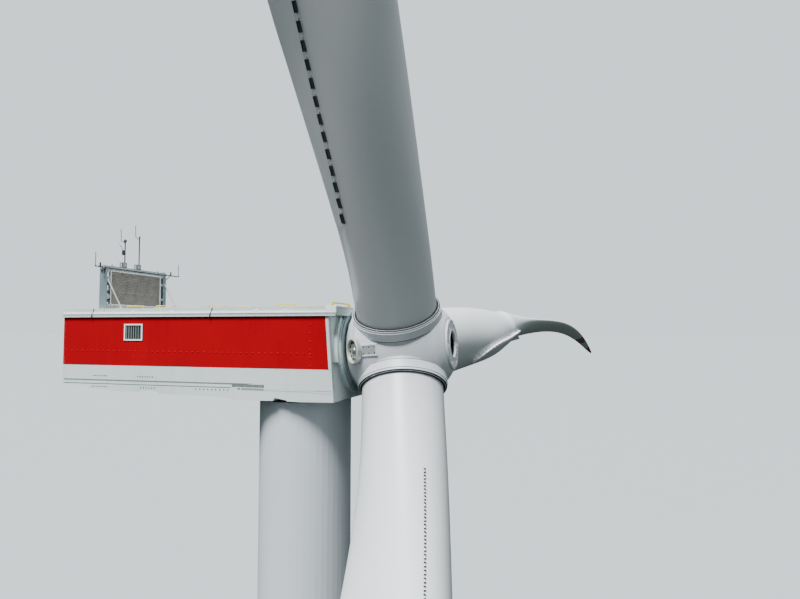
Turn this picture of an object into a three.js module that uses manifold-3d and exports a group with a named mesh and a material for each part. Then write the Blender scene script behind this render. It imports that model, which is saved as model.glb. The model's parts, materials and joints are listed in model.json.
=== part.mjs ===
// Wind turbine head at 1:10: the top tower section, the nacelle with its roof cooler, and the rotor.
// Millimetres. The origin is the centre of the tower section's bottom flange face, +Z points up,
// +X points to the rotor, and -Y is the nacelle's left side.
import * as THREE from 'three';
import { mergeVertices } from 'three/addons/utils/BufferGeometryUtils.js';
import Module from 'manifold-3d';

const wasm = await Module();
wasm.setup();

const rad = THREE.MathUtils.degToRad;
const touch = 0.3;

// Tower
const towerRadius = 186;
const towerWall = 3;
const plateRingHeight = 290;
const plateRings = 6;
const towerHeight = plateRingHeight * plateRings;
const flangeThickness = 12;
const flangeInnerRadius = 150;

// Nacelle housing
const yawGap = 7;
const yawRingWidth = 22;
const hullBottom = towerHeight + yawGap;
const halfWidth = 215.4;
const wall = 6;
const postWidth = 12;
const rearX = -1042;
const bandBottom = hullBottom + 125;
const bandHeight = 200;
const bandTop = bandBottom + bandHeight;
const bandRearX = rearX + 6;
const upperGroove = bandBottom - 60;
const lowerGroove = bandBottom - 79;
const rearTrayEnd = -563;
const frontTrayStart = -213;
const sillFrontX = 230;
const panelTop = bandTop;
const lipBottom = bandTop + 7;
const lipTop = lipBottom + 9;
const roofTop = bandTop + 37;
const roofPlate = 4;
const roofLipX = 225;
const roofJointRearX = -830;
const roofJointFrontX = -312;
const hatchHalf = 42;

// Rotor
const tilt = rad(4.3);
const cone = rad(5.4);
const hubX = 413;
const hubZ = bandTop - 121;
const frontWallAt = -214;
const collarRadius = 166;
const collarFrontAt = -193;
const fairingRadius = 181;
const fairingFrontAt = -200;
const sealRadius = 162;
const sealFrontAt = -187.5;
const hubRearAt = -179;
const noseAt = 198;
const noseRadius = 100;
const nosePlateRadius = 96;
const nosePlateTop = 206;
const manholeRadius = 50.3;
const manholeFloorAt = 128;
const shaftRadius = 70;
const shaftBore = 70.6;
const bearingOuter = 100;
const flangeRadius = 169;
const flangeTop = 167.5;
const pitchRingTop = 174;
const pitchRingInner = 160.5;
const portRadius = 47.5;
const portDepth = 10;
const portAt = [-129.5, 194.5];
const portLean = rad(44);
const portAzimuth = 58;

// Blades
const bladeRootRadius = 154.4;
const bladeRootAt = flangeTop + 0.6;
const widestAt = 1450;
const widestChord = 412;
const tipAt = 7473;
const tipBend = -541;
const bendPower = 4.4;
const tipSweep = 180;
const sweepPower = 2.75;
const rootTwist = rad(21.4);
const twistPower = 2.2;
const stripStart = 1742;
const stripEnd = 3102;
const stripHeight = 30;
const restPitch = { blade_1: 78, blade_2: 78, blade_3: 106 };
const azimuth = { blade_1: 122, blade_2: 242, blade_3: 2 };

// Roof equipment
const coolerX = -856;
const coolerHalf = 195;
const coolerSheet = 3;
const coolerTop = roofTop + 172;
const beamHalf = 205;
const beamHeight = 14;
const radiatorHalf = 160;
const radiatorLow = roofTop + 22;
const radiatorHigh = roofTop + 163;

const finish = {
  housing: { color: '#c8d4d3', roughness: 0.42 },
  roof: { color: '#b9c8c8', roughness: 0.45 },
  band: { color: '#b80a0c', roughness: 0.38 },
  tower: { color: '#c3cbd0', roughness: 0.45 },
  hub: { color: '#cdd4da', roughness: 0.38 },
  blade: { color: '#d5dbde', roughness: 0.35 },
  steel: { color: '#4a5356', roughness: 0.5, metalness: 0.6 },
  cooler: { color: '#8fa3ab', roughness: 0.5 },
  core: { color: '#6a6763', roughness: 0.7, metalness: 0.3 },
  galvanised: { color: '#c9cdcb', roughness: 0.45, metalness: 0.5 },
  yellow: { color: '#d8c32a', roughness: 0.5 },
  dark: { color: '#2d3437', roughness: 0.6 },
};

const turbine = new THREE.Group();

function addNode(parent, name, geometry, look) {
  const mesh = new THREE.Mesh(geometry, new THREE.MeshStandardMaterial(finish[look]));
  mesh.name = name;
  parent.add(mesh);
  return mesh;
}

// Booleans

function toSolid(geometry) {
  let g = geometry.clone();
  g.deleteAttribute('normal');
  g.deleteAttribute('uv');
  g = mergeVertices(g, 1e-4);
  const vertProperties = new Float32Array(g.attributes.position.array);
  const triVerts = new Uint32Array(g.index.array);
  return new wasm.Manifold(new wasm.Mesh({ numProp: 3, vertProperties, triVerts }));
}

function toGeometry(solid) {
  const mesh = solid.getMesh();
  const geometry = new THREE.BufferGeometry();
  geometry.setAttribute('position', new THREE.BufferAttribute(new Float32Array(mesh.vertProperties), 3));
  geometry.setIndex(new THREE.BufferAttribute(new Uint32Array(mesh.triVerts), 1));
  return geometry;
}

function join(...parts) {
  return toGeometry(parts.map(toSolid).reduce((a, b) => a.add(b)));
}

function cut(base, ...tools) {
  return toGeometry(tools.map(toSolid).reduce((a, b) => a.subtract(b), toSolid(base)));
}

// Basic forms

function box(x0, x1, y0, y1, z0, z1) {
  const g = new THREE.BoxGeometry(x1 - x0, y1 - y0, z1 - z0);
  return g.translate((x0 + x1) / 2, (y0 + y1) / 2, (z0 + z1) / 2);
}

function shapeOf(points, holes = []) {
  const shape = new THREE.Shape(points.map(([a, b]) => new THREE.Vector2(a, b)));
  for (const hole of holes) {
    shape.holes.push(new THREE.Path(hole.map(([a, b]) => new THREE.Vector2(a, b))));
  }
  return shape;
}

function extrude(shape, depth, curveSegments = 24) {
  return new THREE.ExtrudeGeometry(shape, { depth, bevelEnabled: false, curveSegments });
}

// A plate whose outline is drawn in X and Z, between two Y values.
function sidePlate(points, y0, y1, holes = []) {
  return extrude(shapeOf(points, holes), y1 - y0).rotateX(Math.PI / 2).translate(0, y1, 0);
}

// A bar whose section is drawn in Y and Z, between two X values.
function alongX(points, x0, x1) {
  const turn = new THREE.Matrix4().makeBasis(
    new THREE.Vector3(0, 1, 0), new THREE.Vector3(0, 0, 1), new THREE.Vector3(1, 0, 0));
  return extrude(shapeOf(points), x1 - x0).applyMatrix4(turn).translate(x0, 0, 0);
}

function rod(from, to, radius, sides = 8) {
  const a = new THREE.Vector3(...from);
  const b = new THREE.Vector3(...to);
  const direction = b.clone().sub(a);
  const g = new THREE.CylinderGeometry(radius, radius, direction.length(), sides);
  const turn = new THREE.Quaternion().setFromUnitVectors(new THREE.Vector3(0, 1, 0), direction.normalize());
  return g.applyQuaternion(turn).translate((a.x + b.x) / 2, (a.y + b.y) / 2, (a.z + b.z) / 2);
}

// A turned form about the vertical axis from [radius, height] points.
function turned(points, segments = 48) {
  const profile = points.map(([r, z]) => new THREE.Vector2(r, z));
  return new THREE.LatheGeometry(profile, segments).rotateX(Math.PI / 2);
}

// A turned form about the rotor axis (local X) from [radius, distance along the axis] points.
function turnedAlongX(points, segments = 48) {
  return turned(points, segments).rotateY(Math.PI / 2);
}

function ringPoints(inner, outer, low, high) {
  return [[inner, low], [outer, low], [outer, high], [inner, high], [inner, low]];
}

function discPoints(radius, low, high) {
  return [[0, low], [radius, low], [radius, high], [0, high]];
}

function mirrored(make) {
  for (const [side, sign] of [['left', -1], ['right', 1]]) make(side, sign);
}

// Orders a pair of Y values whatever side of the nacelle they lie on.
function acrossY(sign, inner, outer) {
  return sign > 0 ? [inner, outer] : [-outer, -inner];
}

// Tower section: a rolled shell with its two flanges

function makeTower() {
  const low = flangeThickness + touch;
  const high = towerHeight - flangeThickness - touch;
  addNode(turbine, 'tower_section',
    turned(ringPoints(towerRadius - towerWall, towerRadius, low, high)), 'tower');
  addNode(turbine, 'tower_base_flange', turned(discPoints(towerRadius, 0, flangeThickness)), 'steel');
  const topRing = ringPoints(flangeInnerRadius, towerRadius, towerHeight - flangeThickness, towerHeight);
  addNode(turbine, 'tower_top_flange', turned(topRing), 'tower');
}

// Nacelle: hull, side panels, walls, roof

const hullInner = halfWidth - wall;

function makeYawRing() {
  const outer = flangeInnerRadius + yawRingWidth;
  const ring = ringPoints(flangeInnerRadius, outer, towerHeight + touch, hullBottom - touch);
  addNode(turbine, 'yaw_ring', turned(ring, 36), 'steel');
}

// Each hull tray is as deep as the outline of the underside at its place.
function makeHull() {
  const trayTop = lowerGroove - touch;
  const z = (rise) => hullBottom + rise;
  const trays = {
    hull_rear: [[rearX + 15, z(41)], [-914, z(40)], [-904, z(24)], [-817, z(23)], [-789, z(18)],
      [-669, z(18)], [-647, z(22)], [rearTrayEnd, z(24)], [rearTrayEnd, trayTop], [rearX, trayTop]],
    hull_middle: [[rearTrayEnd + touch, z(24)], [-552, z(12)], [-359, z(12)], [-223, z(7)],
      [frontTrayStart, z(1)], [frontTrayStart, trayTop], [rearTrayEnd + touch, trayTop]],
    hull_front: [[frontTrayStart + touch, z(0)], [-37, z(2)], [-30, z(14)], [19, z(6)], [23, z(2)],
      [79, z(1)], [frontX(z(4)), z(4)], [frontX(trayTop), trayTop], [frontTrayStart + touch, trayTop]],
  };
  for (const [name, outline] of Object.entries(trays)) {
    addNode(turbine, name, sidePlate(outline, -halfWidth, halfWidth), 'housing');
  }
}

// The front face leans back with the rotor's tilt.
function frontX(z) {
  return hubX + frontWallAt / Math.cos(tilt) - (z - hubZ) * Math.tan(tilt);
}

function makeSides() {
  const louvreX = [-728, -637];
  const louvreZ = [bandBottom + 103, bandBottom + 172];
  mirrored((side, sign) => {
    const [y0, y1] = acrossY(sign, hullInner, halfWidth);
    const window = [[louvreX[0], louvreZ[0]], [louvreX[1], louvreZ[0]], [louvreX[1], louvreZ[1]],
      [louvreX[0], louvreZ[1]]];
    const band = [[bandRearX, bandBottom + touch], [frontX(bandBottom) - postWidth, bandBottom + touch],
      [frontX(bandTop) - postWidth, bandTop], [bandRearX, bandTop]];
    addNode(turbine, `red_band_${side}`, sidePlate(band, y0, y1, [window]), 'band');

    const grooveDepth = 3;
    const grooveHeight = 2;
    const outer = sign * halfWidth;
    const groove = sign * (halfWidth - grooveDepth);
    const inner = sign * hullInner;
    const section = [[inner, lowerGroove], [groove, lowerGroove], [groove, lowerGroove + grooveHeight],
      [outer, lowerGroove + grooveHeight], [outer, upperGroove - grooveHeight],
      [groove, upperGroove - grooveHeight], [groove, upperGroove], [outer, upperGroove],
      [outer, bandBottom], [inner, bandBottom]];
    const low = lowerGroove - 1;
    const high = bandBottom + 1;
    const ahead = [[frontX(low), low], [sillFrontX, low], [sillFrontX, high], [frontX(high), high]];
    const sill = cut(alongX(section, rearX + wall + touch, sillFrontX - 1),
      sidePlate(ahead, -halfWidth - 1, halfWidth + 1));
    addNode(turbine, `side_sill_${side}`, sill, 'housing');

    const louvre = louvreBlades(louvreX, louvreZ, sign);
    addNode(turbine, `side_louvre_${side}`, louvre, 'galvanised');
  });
}

// A frame with upright slats, seated in its window.
function louvreBlades([x0, x1], [z0, z1], sign) {
  const [y0, y1] = acrossY(sign, hullInner - 2, halfWidth + 1.5);
  const rim = 5;
  const slats = 7;
  const slatInset = 1.5;
  const slatShare = 0.4;
  const [a0, a1] = [x0 + touch, x1 - touch];
  const [b0, b1] = [z0 + touch, z1 - touch];
  const frame = cut(box(a0, a1, y0, y1, b0, b1),
    box(a0 + rim, a1 - rim, y0 - 1, y1 + 1, b0 + rim, b1 - rim));
  const pitch = (a1 - a0 - 2 * rim) / slats;
  const parts = [frame];
  for (let i = 0; i < slats; i += 1) {
    const x = a0 + rim + (i + 0.3) * pitch;
    parts.push(box(x, x + slatShare * pitch, y0 + slatInset, y1 - slatInset, b0 + rim - 1, b1 - rim + 1));
  }
  return join(...parts);
}

function makeEndWalls() {
  const y = halfWidth;
  const low = lowerGroove;
  const bandY = y - 8;
  const bandDepth = 2;
  const rear = box(rearX, rearX + wall, -y, y, low, panelTop);
  const bandRecess = box(rearX - 1, rearX + bandDepth + touch, -bandY, bandY, bandBottom, bandTop);
  addNode(turbine, 'rear_wall', cut(rear, bandRecess), 'housing');
  const bandEdge = bandY - touch;
  addNode(turbine, 'red_band_rear',
    box(rearX, rearX + bandDepth, -bandEdge, bandEdge, bandBottom + touch, bandTop - touch), 'band');

  const rearOfFront = 8;
  const front = [[frontX(low) - rearOfFront, low], [frontX(low), low],
    [frontX(panelTop), panelTop], [frontX(panelTop) - rearOfFront, panelTop]];
  addNode(turbine, 'front_wall', sidePlate(front, -hullInner + touch, hullInner - touch), 'housing');
  mirrored((side, sign) => {
    const [y0, y1] = acrossY(sign, hullInner, halfWidth);
    const post = [[frontX(bandBottom) - postWidth + touch, bandBottom + touch],
      [frontX(bandBottom), bandBottom + touch], [frontX(panelTop), panelTop],
      [frontX(panelTop) - postWidth + touch, panelTop]];
    addNode(turbine, `corner_post_${side}`, sidePlate(post, y0, y1), 'housing');
  });
}

// Roof caps: a plate with a skirt and an outward lip on both sides
function roofSection() {
  const side = halfWidth + 3;
  const lip = halfWidth + 7;
  const skirt = halfWidth + 1;
  const inner = halfWidth - 3;
  const low = bandTop + touch;
  const under = roofTop - roofPlate;
  const half = [[inner, under], [inner, low], [skirt, low], [skirt, lipBottom], [lip, lipBottom],
    [lip, lipTop], [side, lipTop], [side, roofTop]];
  return [...half, ...half.map(([y, z]) => [-y, z]).reverse()];
}

function makeRoof() {
  const section = roofSection();
  const seam = 0.5;
  addNode(turbine, 'roof_rear', alongX(section, rearX - 3, roofJointRearX - seam), 'roof');
  addNode(turbine, 'roof_middle', alongX(section, roofJointRearX + seam, roofJointFrontX - seam), 'roof');
  const sheet = 4;
  const low = bandTop + 1;
  const fascia = box(roofLipX - sheet, roofLipX, -halfWidth, halfWidth, low, roofTop - 1);
  const soffitWidth = halfWidth - 1;
  const soffitPlate = box(frontX(bandTop) - 20, roofLipX - 1, -soffitWidth, soffitWidth,
    low, bandTop + sheet);
  const drum = (radius) => turnedAlongX(discPoints(radius, -260, -140)).applyMatrix4(rotorFrame);
  const soffit = cut(soffitPlate, drum(fairingRadius + 1));
  const arch = drum(collarRadius + 0.8);
  const cap = join(alongX(section, roofJointFrontX + seam, roofLipX), fascia, soffit);
  addNode(turbine, 'roof_front', cut(cap, arch), 'roof');
}

function makeHatches() {
  for (const [name, x] of [['roof_hatch_rear', -485], ['roof_hatch_front', 22]]) {
    addNode(turbine, name,
      box(x - hatchHalf, x + hatchHalf, -hatchHalf, hatchHalf, roofTop + touch, roofTop + 5), 'roof');
  }
}

// Yellow hook-on rails: low bars on posts, tied by one flat foot strip on each side
function makeAnchorRails() {
  const railY = 95;
  const barHalf = 46;
  const barHeight = 14;
  const centres = [-777, -622, -363, -51];
  const footRear = centres[0] - barHalf - 6;
  const footFront = centres[3] + barHalf + 6;
  mirrored((side, sign) => {
    const y = sign * railY;
    const parts = [box(footRear, footFront, y - 4, y + 4, roofTop + touch, roofTop + 2)];
    for (const x of centres) {
      parts.push(rod([x - barHalf, y, roofTop + barHeight], [x + barHalf, y, roofTop + barHeight], 2, 6));
      for (const end of [-1, 1]) {
        const post = x + end * (barHalf - 4);
        parts.push(box(post - 1.5, post + 1.5, y - 1.5, y + 1.5, roofTop + 1, roofTop + barHeight + 1));
      }
    }
    addNode(turbine, `anchor_rail_${side}`, join(...parts), 'yellow');
  });
}

// Roof cooler: radiator in a portal frame between two side plates, braced towards the rotor
function makeCooler() {
  const foot = roofTop + touch;
  const inside = coolerHalf - coolerSheet - touch;
  const through = (y0, y1, z0, z1) => box(coolerX - 10, coolerX + 10, y0, y1, z0, z1);
  const [holeNear, holeFar] = [163, 180];
  const openings = [through(-radiatorHalf, radiatorHalf, radiatorLow, radiatorHigh)];
  for (const [low, high] of [[21, 46], [61, 120], [140, 159]]) {
    openings.push(through(holeNear, holeFar, roofTop + low, roofTop + high));
    openings.push(through(-holeFar, -holeNear, roofTop + low, roofTop + high));
  }
  const sheet = box(coolerX - 4, coolerX + 4, -inside, inside, foot, coolerTop);
  addNode(turbine, 'cooler_frame', cut(sheet, ...openings), 'galvanised');

  addNode(turbine, 'cooler_core', box(coolerX - 6, coolerX + 3, touch - radiatorHalf, radiatorHalf - touch,
    radiatorLow + touch, radiatorHigh - touch), 'core');
  addNode(turbine, 'cooler_top_beam', box(coolerX - 7, coolerX + 7, -beamHalf, beamHalf,
    coolerTop + touch, coolerTop + beamHeight), 'galvanised');
  const braceRadius = 3;
  mirrored((side, sign) => {
    const [y0, y1] = acrossY(sign, coolerHalf - coolerSheet, coolerHalf);
    const sidePanel = box(coolerX - 24, coolerX + 14, y0, y1, foot, coolerTop);
    addNode(turbine, `cooler_side_${side}`, sidePanel, 'cooler');
    const y = sign * (inside - braceRadius);
    const top = [coolerX + 9, y, roofTop + 133];
    const heel = [coolerX + 86, y, roofTop + 3.5];
    const pad = box(heel[0] - 10, heel[0] + 10, y - 6, y + 6, foot, roofTop + 4);
    addNode(turbine, `cooler_brace_${side}`, join(rod(top, heel, braceRadius, 6), pad), 'galvanised');
  });
}

// Side arms on the beam's ends, each with a small sensor and an air terminal rod
function makeSensorArms() {
  const rodTop = coolerTop + beamHeight + 52;
  const reach = { left: 54, right: 115 };
  const armZ = coolerTop + 6;
  mirrored((side, sign) => {
    const start = beamHalf + touch;
    const end = coolerHalf + reach[side];
    const y = (value) => sign * value;
    const sensorAt = coolerHalf + 0.45 * reach[side];
    const parts = [
      rod([coolerX, y(start), armZ], [coolerX, y(end), armZ], 2.5, 6),
      rod([coolerX, y(end - 3), armZ], [coolerX, y(end - 3), rodTop], 1.5, 6),
      rod([coolerX, y(start + 1.2), armZ - 26], [coolerX, y(sensorAt), armZ], 2, 6),
      rod([coolerX, y(start + 1.2), armZ - 28], [coolerX, y(start + 1.2), armZ], 1.5, 6),
      rod([coolerX, y(sensorAt), armZ], [coolerX, y(sensorAt), armZ + 18], 3.5, 8),
    ];
    addNode(turbine, `sensor_arm_${side}`, join(...parts), 'dark');
  });
}

// Wind sensor masts on the beam, each with a base box and a bent air terminal
function makeMasts() {
  const foot = coolerTop + beamHeight + touch;
  const rodOut = 25;
  const masts = { mast_1: { y: -74, tip: 2416, head: 7.5 }, mast_2: { y: 18, tip: 2445, head: 4.5 } };
  for (const [name, { y, tip, head }] of Object.entries(masts)) {
    const elbow = tip - 10;
    const parts = [
      box(coolerX - 8, coolerX + 8, y - 22, y + 5, foot, foot + 22),
      rod([coolerX, y, foot + 20], [coolerX, y, tip], 2.6, 8),
      new THREE.SphereGeometry(head, 12, 8).translate(coolerX, y, tip),
      rod([coolerX, y, elbow - 2], [coolerX, y - rodOut, elbow + 6], 1.4, 6),
      rod([coolerX, y - rodOut, elbow + 5], [coolerX, y - rodOut - 3, elbow + 60], 1.4, 6),
    ];
    addNode(turbine, name, join(...parts), 'dark');
  }
}

// Round collar between the front wall and the rotor, with its seal, side fairings and main bearing

const hubFrame = new THREE.Group();
hubFrame.position.set(hubX, 0, hubZ);
hubFrame.rotation.y = -tilt;
turbine.add(hubFrame);
hubFrame.updateMatrixWorld(true);
const rotorFrame = hubFrame.matrixWorld.clone();

function makeCollar() {
  const wallFace = frontWallAt + touch;
  addNode(hubFrame, 'front_collar',
    turnedAlongX(ringPoints(bearingOuter + touch, collarRadius, wallFace, collarFrontAt)), 'roof');
  addNode(hubFrame, 'rotor_seal',
    turnedAlongX(ringPoints(sealRadius - 22, sealRadius, collarFrontAt + touch, sealFrontAt)), 'dark');
  addNode(hubFrame, 'main_bearing',
    turnedAlongX(ringPoints(shaftBore, bearingOuter, wallFace, collarFrontAt), 32), 'steel');

  const inner = collarRadius + touch;
  const outer = fairingRadius;
  const [low, high] = [rad(-16), rad(49)];
  const steps = 16;
  mirrored((side, sign) => {
    const arc = (r, t) => [sign * r * Math.cos(t), r * Math.sin(t)];
    const angles = Array.from({ length: steps + 1 }, (_, i) => low + ((high - low) * i) / steps);
    const outline = [...angles.map((t) => arc(outer, t)), ...angles.reverse().map((t) => arc(inner, t))];
    addNode(hubFrame, `collar_fairing_${side}`, alongX(outline, wallFace, fairingFrontAt), 'housing');
  });
}

// Rotor: hub casting, nose plate, ports, pitch bearings and shaft

// Turns a form from the frame of the blade at azimuth 0 (span along Y) to its own place.
function atAzimuth(geometry, degrees, lean = 0) {
  return geometry.rotateZ(-lean).rotateX(rad(degrees));
}

function alongSpan(points, segments = 40) {
  const profile = points.map(([r, at]) => new THREE.Vector2(r, at));
  return new THREE.LatheGeometry(profile, segments);
}

function portForm(points) {
  return alongSpan(points, 24).rotateZ(portLean).translate(portAt[0], portAt[1], 0);
}

const bladeNames = Object.keys(azimuth);

// The casting is two solids that meet in the plane of the manhole's floor: the body with its three
// necks, and the nose that holds the plate.
function makeHub() {
  const profile = [[0, hubRearAt], [143, hubRearAt], [151, -171], [202, -121], [208.5, -95], [210, -71],
    [208.5, 0], [204, 35], [195, 69], [184, 101], [170, 129], [137.5, 173], [noseRadius + 9, noseAt - 3],
    [noseRadius, noseAt], [0, noseAt]];
  let hub = turnedAlongX(profile);
  const spigots = bladeNames.map((name) =>
    atAzimuth(alongSpan([[0, 40], [flangeRadius, 40], [flangeRadius, flangeTop], [0, flangeTop]]),
      azimuth[name], cone));
  hub = join(hub, ...spigots);
  const pockets = bladeNames.map((name) =>
    atAzimuth(portForm(discPoints(portRadius + touch, -portDepth, 60)), azimuth[name] + portAzimuth));
  const spotFaces = bladeNames.map((name) =>
    atAzimuth(alongSpan([[0, flangeTop], [flangeRadius + 5, flangeTop], [flangeRadius + 5, 300], [0, 300]]),
      azimuth[name], cone));
  const casting = cut(hub, ...spotFaces, ...pockets);
  const reach = 400;
  addNode(hubFrame, 'hub', cut(casting, turnedAlongX(discPoints(reach, manholeFloorAt, reach), 8)), 'hub');
  const behind = turnedAlongX(discPoints(reach, -reach, manholeFloorAt + touch), 8);
  const seat = turnedAlongX(discPoints(nosePlateRadius + touch, manholeFloorAt - 10, noseAt + 10), 40);
  addNode(hubFrame, 'hub_nose', cut(casting, behind, seat), 'hub');
}

function makeHubFittings() {
  const boltCircle = 75;
  const holeRadius = 9;
  const hole = (t) => turnedAlongX(discPoints(holeRadius, noseAt, noseAt + 20), 8)
    .translate(0, boltCircle * Math.cos(t), boltCircle * Math.sin(t));
  const holes = Array.from({ length: 6 }, (_, i) => hole(rad(60 * i + 30)));
  const sleeve = ringPoints(manholeRadius, nosePlateRadius, manholeFloorAt + 2 * touch, nosePlateTop);
  addNode(hubFrame, 'nose_plate', cut(turnedAlongX(sleeve, 40), ...holes), 'hub');

  const shaft = turnedAlongX(discPoints(shaftRadius, frontWallAt + wall, hubRearAt - touch), 32);
  addNode(hubFrame, 'main_shaft', shaft, 'steel');

  for (const name of bladeNames) {
    const number = name.slice(-1);
    const back = touch - portDepth;
    const dish = [[0, back], [portRadius, back], [portRadius, 5], [portRadius - 6, 5],
      [portRadius - 8, -4], [0, -4]];
    const port = atAzimuth(portForm(dish), azimuth[name] + portAzimuth);
    addNode(hubFrame, `service_port_${number}`, port, 'galvanised');
    const ring = alongSpan(ringPoints(pitchRingInner, flangeRadius, flangeTop + touch, pitchRingTop));
    addNode(hubFrame, `pitch_bearing_${number}`, atAzimuth(ring, azimuth[name], cone), 'hub');
  }
}

// Blades: sections from a round root to a thin tip, bent and back-swept.
// In the blade's own frame the span is Y, the leading edge points to -Z and the pressure side to +X.

const halfSection = 12;
const growFrom = 300;
const wingFrom = 250;

function smooth(t) {
  const c = Math.min(Math.max(t, 0), 1);
  return c * c * (3 - 2 * c);
}

// Chord, thickness and the leading edge's distance from the pitch axis, at a distance from the hub
// centre. The section passes from round to wing-shaped as wing goes from 0 to 1.
function sectionAt(at) {
  const root = 2 * bladeRootRadius;
  const grown = smooth((at - growFrom) / (widestAt - growFrom));
  const outer = Math.min(Math.max((at - widestAt) / (tipAt - widestAt), 0), 1);
  const taper = (1 - 0.83 * Math.pow(outer, 0.82)) * Math.sqrt(Math.max(1 - Math.pow(outer, 14), 0.004));
  const inboard = at < widestAt;
  const chord = inboard ? root + (widestChord - root) * grown : widestChord * taper;
  const relative = 0.17 + 0.83 * Math.pow(1 - smooth((at - wingFrom) / 2600), 1.4);
  const lead = inboard ? bladeRootRadius - 18 * grown : chord * (0.33 + 0.04 * (1 - outer));
  return { chord, thickness: Math.min(relative, 1) * chord, lead, wing: smooth((at - wingFrom) / 1000) };
}

function flexAt(at) {
  const t = (at - bladeRootAt) / (tipAt - bladeRootAt);
  return {
    forward: tipBend * Math.pow(t, bendPower),
    back: tipSweep * Math.pow(t, sweepPower),
    twist: rootTwist * Math.pow(1 - t, twistPower) * smooth((at - wingFrom) / 900),
  };
}

function sectionRing(at) {
  const { chord, thickness, lead, wing } = sectionAt(at);
  const { forward, back, twist } = flexAt(at);
  const ratio = thickness / chord;
  const count = 2 * halfSection;
  const ring = [];
  for (let i = 0; i < count; i += 1) {
    const t = (-2 * Math.PI * (i + 0.5)) / count;
    const x = (1 + Math.cos(t)) / 2;
    const round = 0.5 * Math.sin(t) * ratio;
    const foil = 5 * ratio
      * (0.2969 * Math.sqrt(x) - 0.126 * x - 0.3516 * x * x + 0.2843 * x ** 3 - 0.0936 * x ** 4);
    const camber = 0.1 * x * (1 - x);
    const wingSide = Math.sign(Math.sin(t)) * foil + camber;
    const depth = -chord * (round + (wingSide - round) * wing);
    const along = lead - x * chord - back;
    ring.push(new THREE.Vector3(
      forward + depth * Math.cos(twist) + along * Math.sin(twist), at,
      depth * Math.sin(twist) - along * Math.cos(twist)));
  }
  return ring;
}

// Skins a list of closed rings and caps both ends.
function skin(rings) {
  const count = rings[0].length;
  const points = rings.flat();
  const faces = [];
  for (let k = 0; k + 1 < rings.length; k += 1) {
    for (let i = 0; i < count; i += 1) {
      const a = k * count + i;
      const b = k * count + ((i + 1) % count);
      faces.push(a, b, a + count, b, b + count, a + count);
    }
  }
  for (const [k, flip] of [[0, true], [rings.length - 1, false]]) {
    const centre = points.length;
    points.push(rings[k].reduce((sum, p) => sum.add(p), new THREE.Vector3()).divideScalar(count));
    for (let i = 0; i < count; i += 1) {
      const a = k * count + i;
      const b = k * count + ((i + 1) % count);
      faces.push(...(flip ? [b, a, centre] : [a, b, centre]));
    }
  }
  const geometry = new THREE.BufferGeometry().setFromPoints(points);
  geometry.setIndex(faces);
  return geometry;
}

function spread(from, to, steps, ease) {
  return Array.from({ length: steps }, (_, i) => from + (to - from) * Math.pow(i / steps, ease));
}

const stripStations = [...spread(stripStart, stripEnd, 6, 1), stripEnd];

function stations() {
  const inboard = spread(bladeRootAt, stripStart, 10, 1.3);
  const outboard = spread(tipAt, stripEnd, 15, 1.4).reverse();
  return [...inboard, ...stripStations, ...outboard];
}

// The strip of spoilers that stands on the suction side, right behind the trailing edge
function edgeStrip() {
  const thickness = 3;
  const lap = 4;
  const rings = stripStations.map((at) => {
    const ring = sectionRing(at);
    const tail = ring[0].clone().add(ring[ring.length - 1]).multiplyScalar(0.5);
    const lead = ring[halfSection].clone().add(ring[halfSection - 1]).multiplyScalar(0.5);
    const aft = tail.clone().sub(lead).normalize();
    const suction = new THREE.Vector3(-aft.z, 0, aft.x);
    const corner = (back, side) => tail.clone().addScaledVector(aft, back).addScaledVector(suction, side);
    const near = 2 * touch;
    const far = near + thickness;
    return [corner(far, stripHeight), corner(far, -lap), corner(near, -lap), corner(near, stripHeight)];
  });
  return skin(rings);
}

function makeBlades() {
  for (const name of bladeNames) {
    const root = new THREE.Group();
    root.rotation.x = rad(azimuth[name]);
    const leaned = new THREE.Group();
    leaned.rotation.z = -cone;
    const pitched = new THREE.Group();
    pitched.rotation.y = -rad(restPitch[name]);
    hubFrame.add(root);
    root.add(leaned);
    leaned.add(pitched);
    addNode(pitched, name, skin(stations().map(sectionRing)), 'blade');
    addNode(pitched, `edge_strip_${name.slice(-1)}`, edgeStrip(), 'blade');
  }
}

makeTower();
makeYawRing();
makeHull();
makeSides();
makeEndWalls();
makeRoof();
makeHatches();
makeAnchorRails();
makeCooler();
makeSensorArms();
makeMasts();
makeCollar();
makeHub();
makeHubFittings();
makeBlades();

export default turbine;
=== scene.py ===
# %% [markdown]
# # The head of a large wind turbine, at 1:10
# The real machine is a glass-fibre housing on a painted steel tower, with a cast hub and three
# long blades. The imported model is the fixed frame: it gives every main form its size and place.
# What this lesson adds is finish and small detail, so the first cell only loads that frame.

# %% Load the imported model
import json
import math
import bpy
import bmesh
import numpy as np
from mathutils import Matrix, Vector


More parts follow.
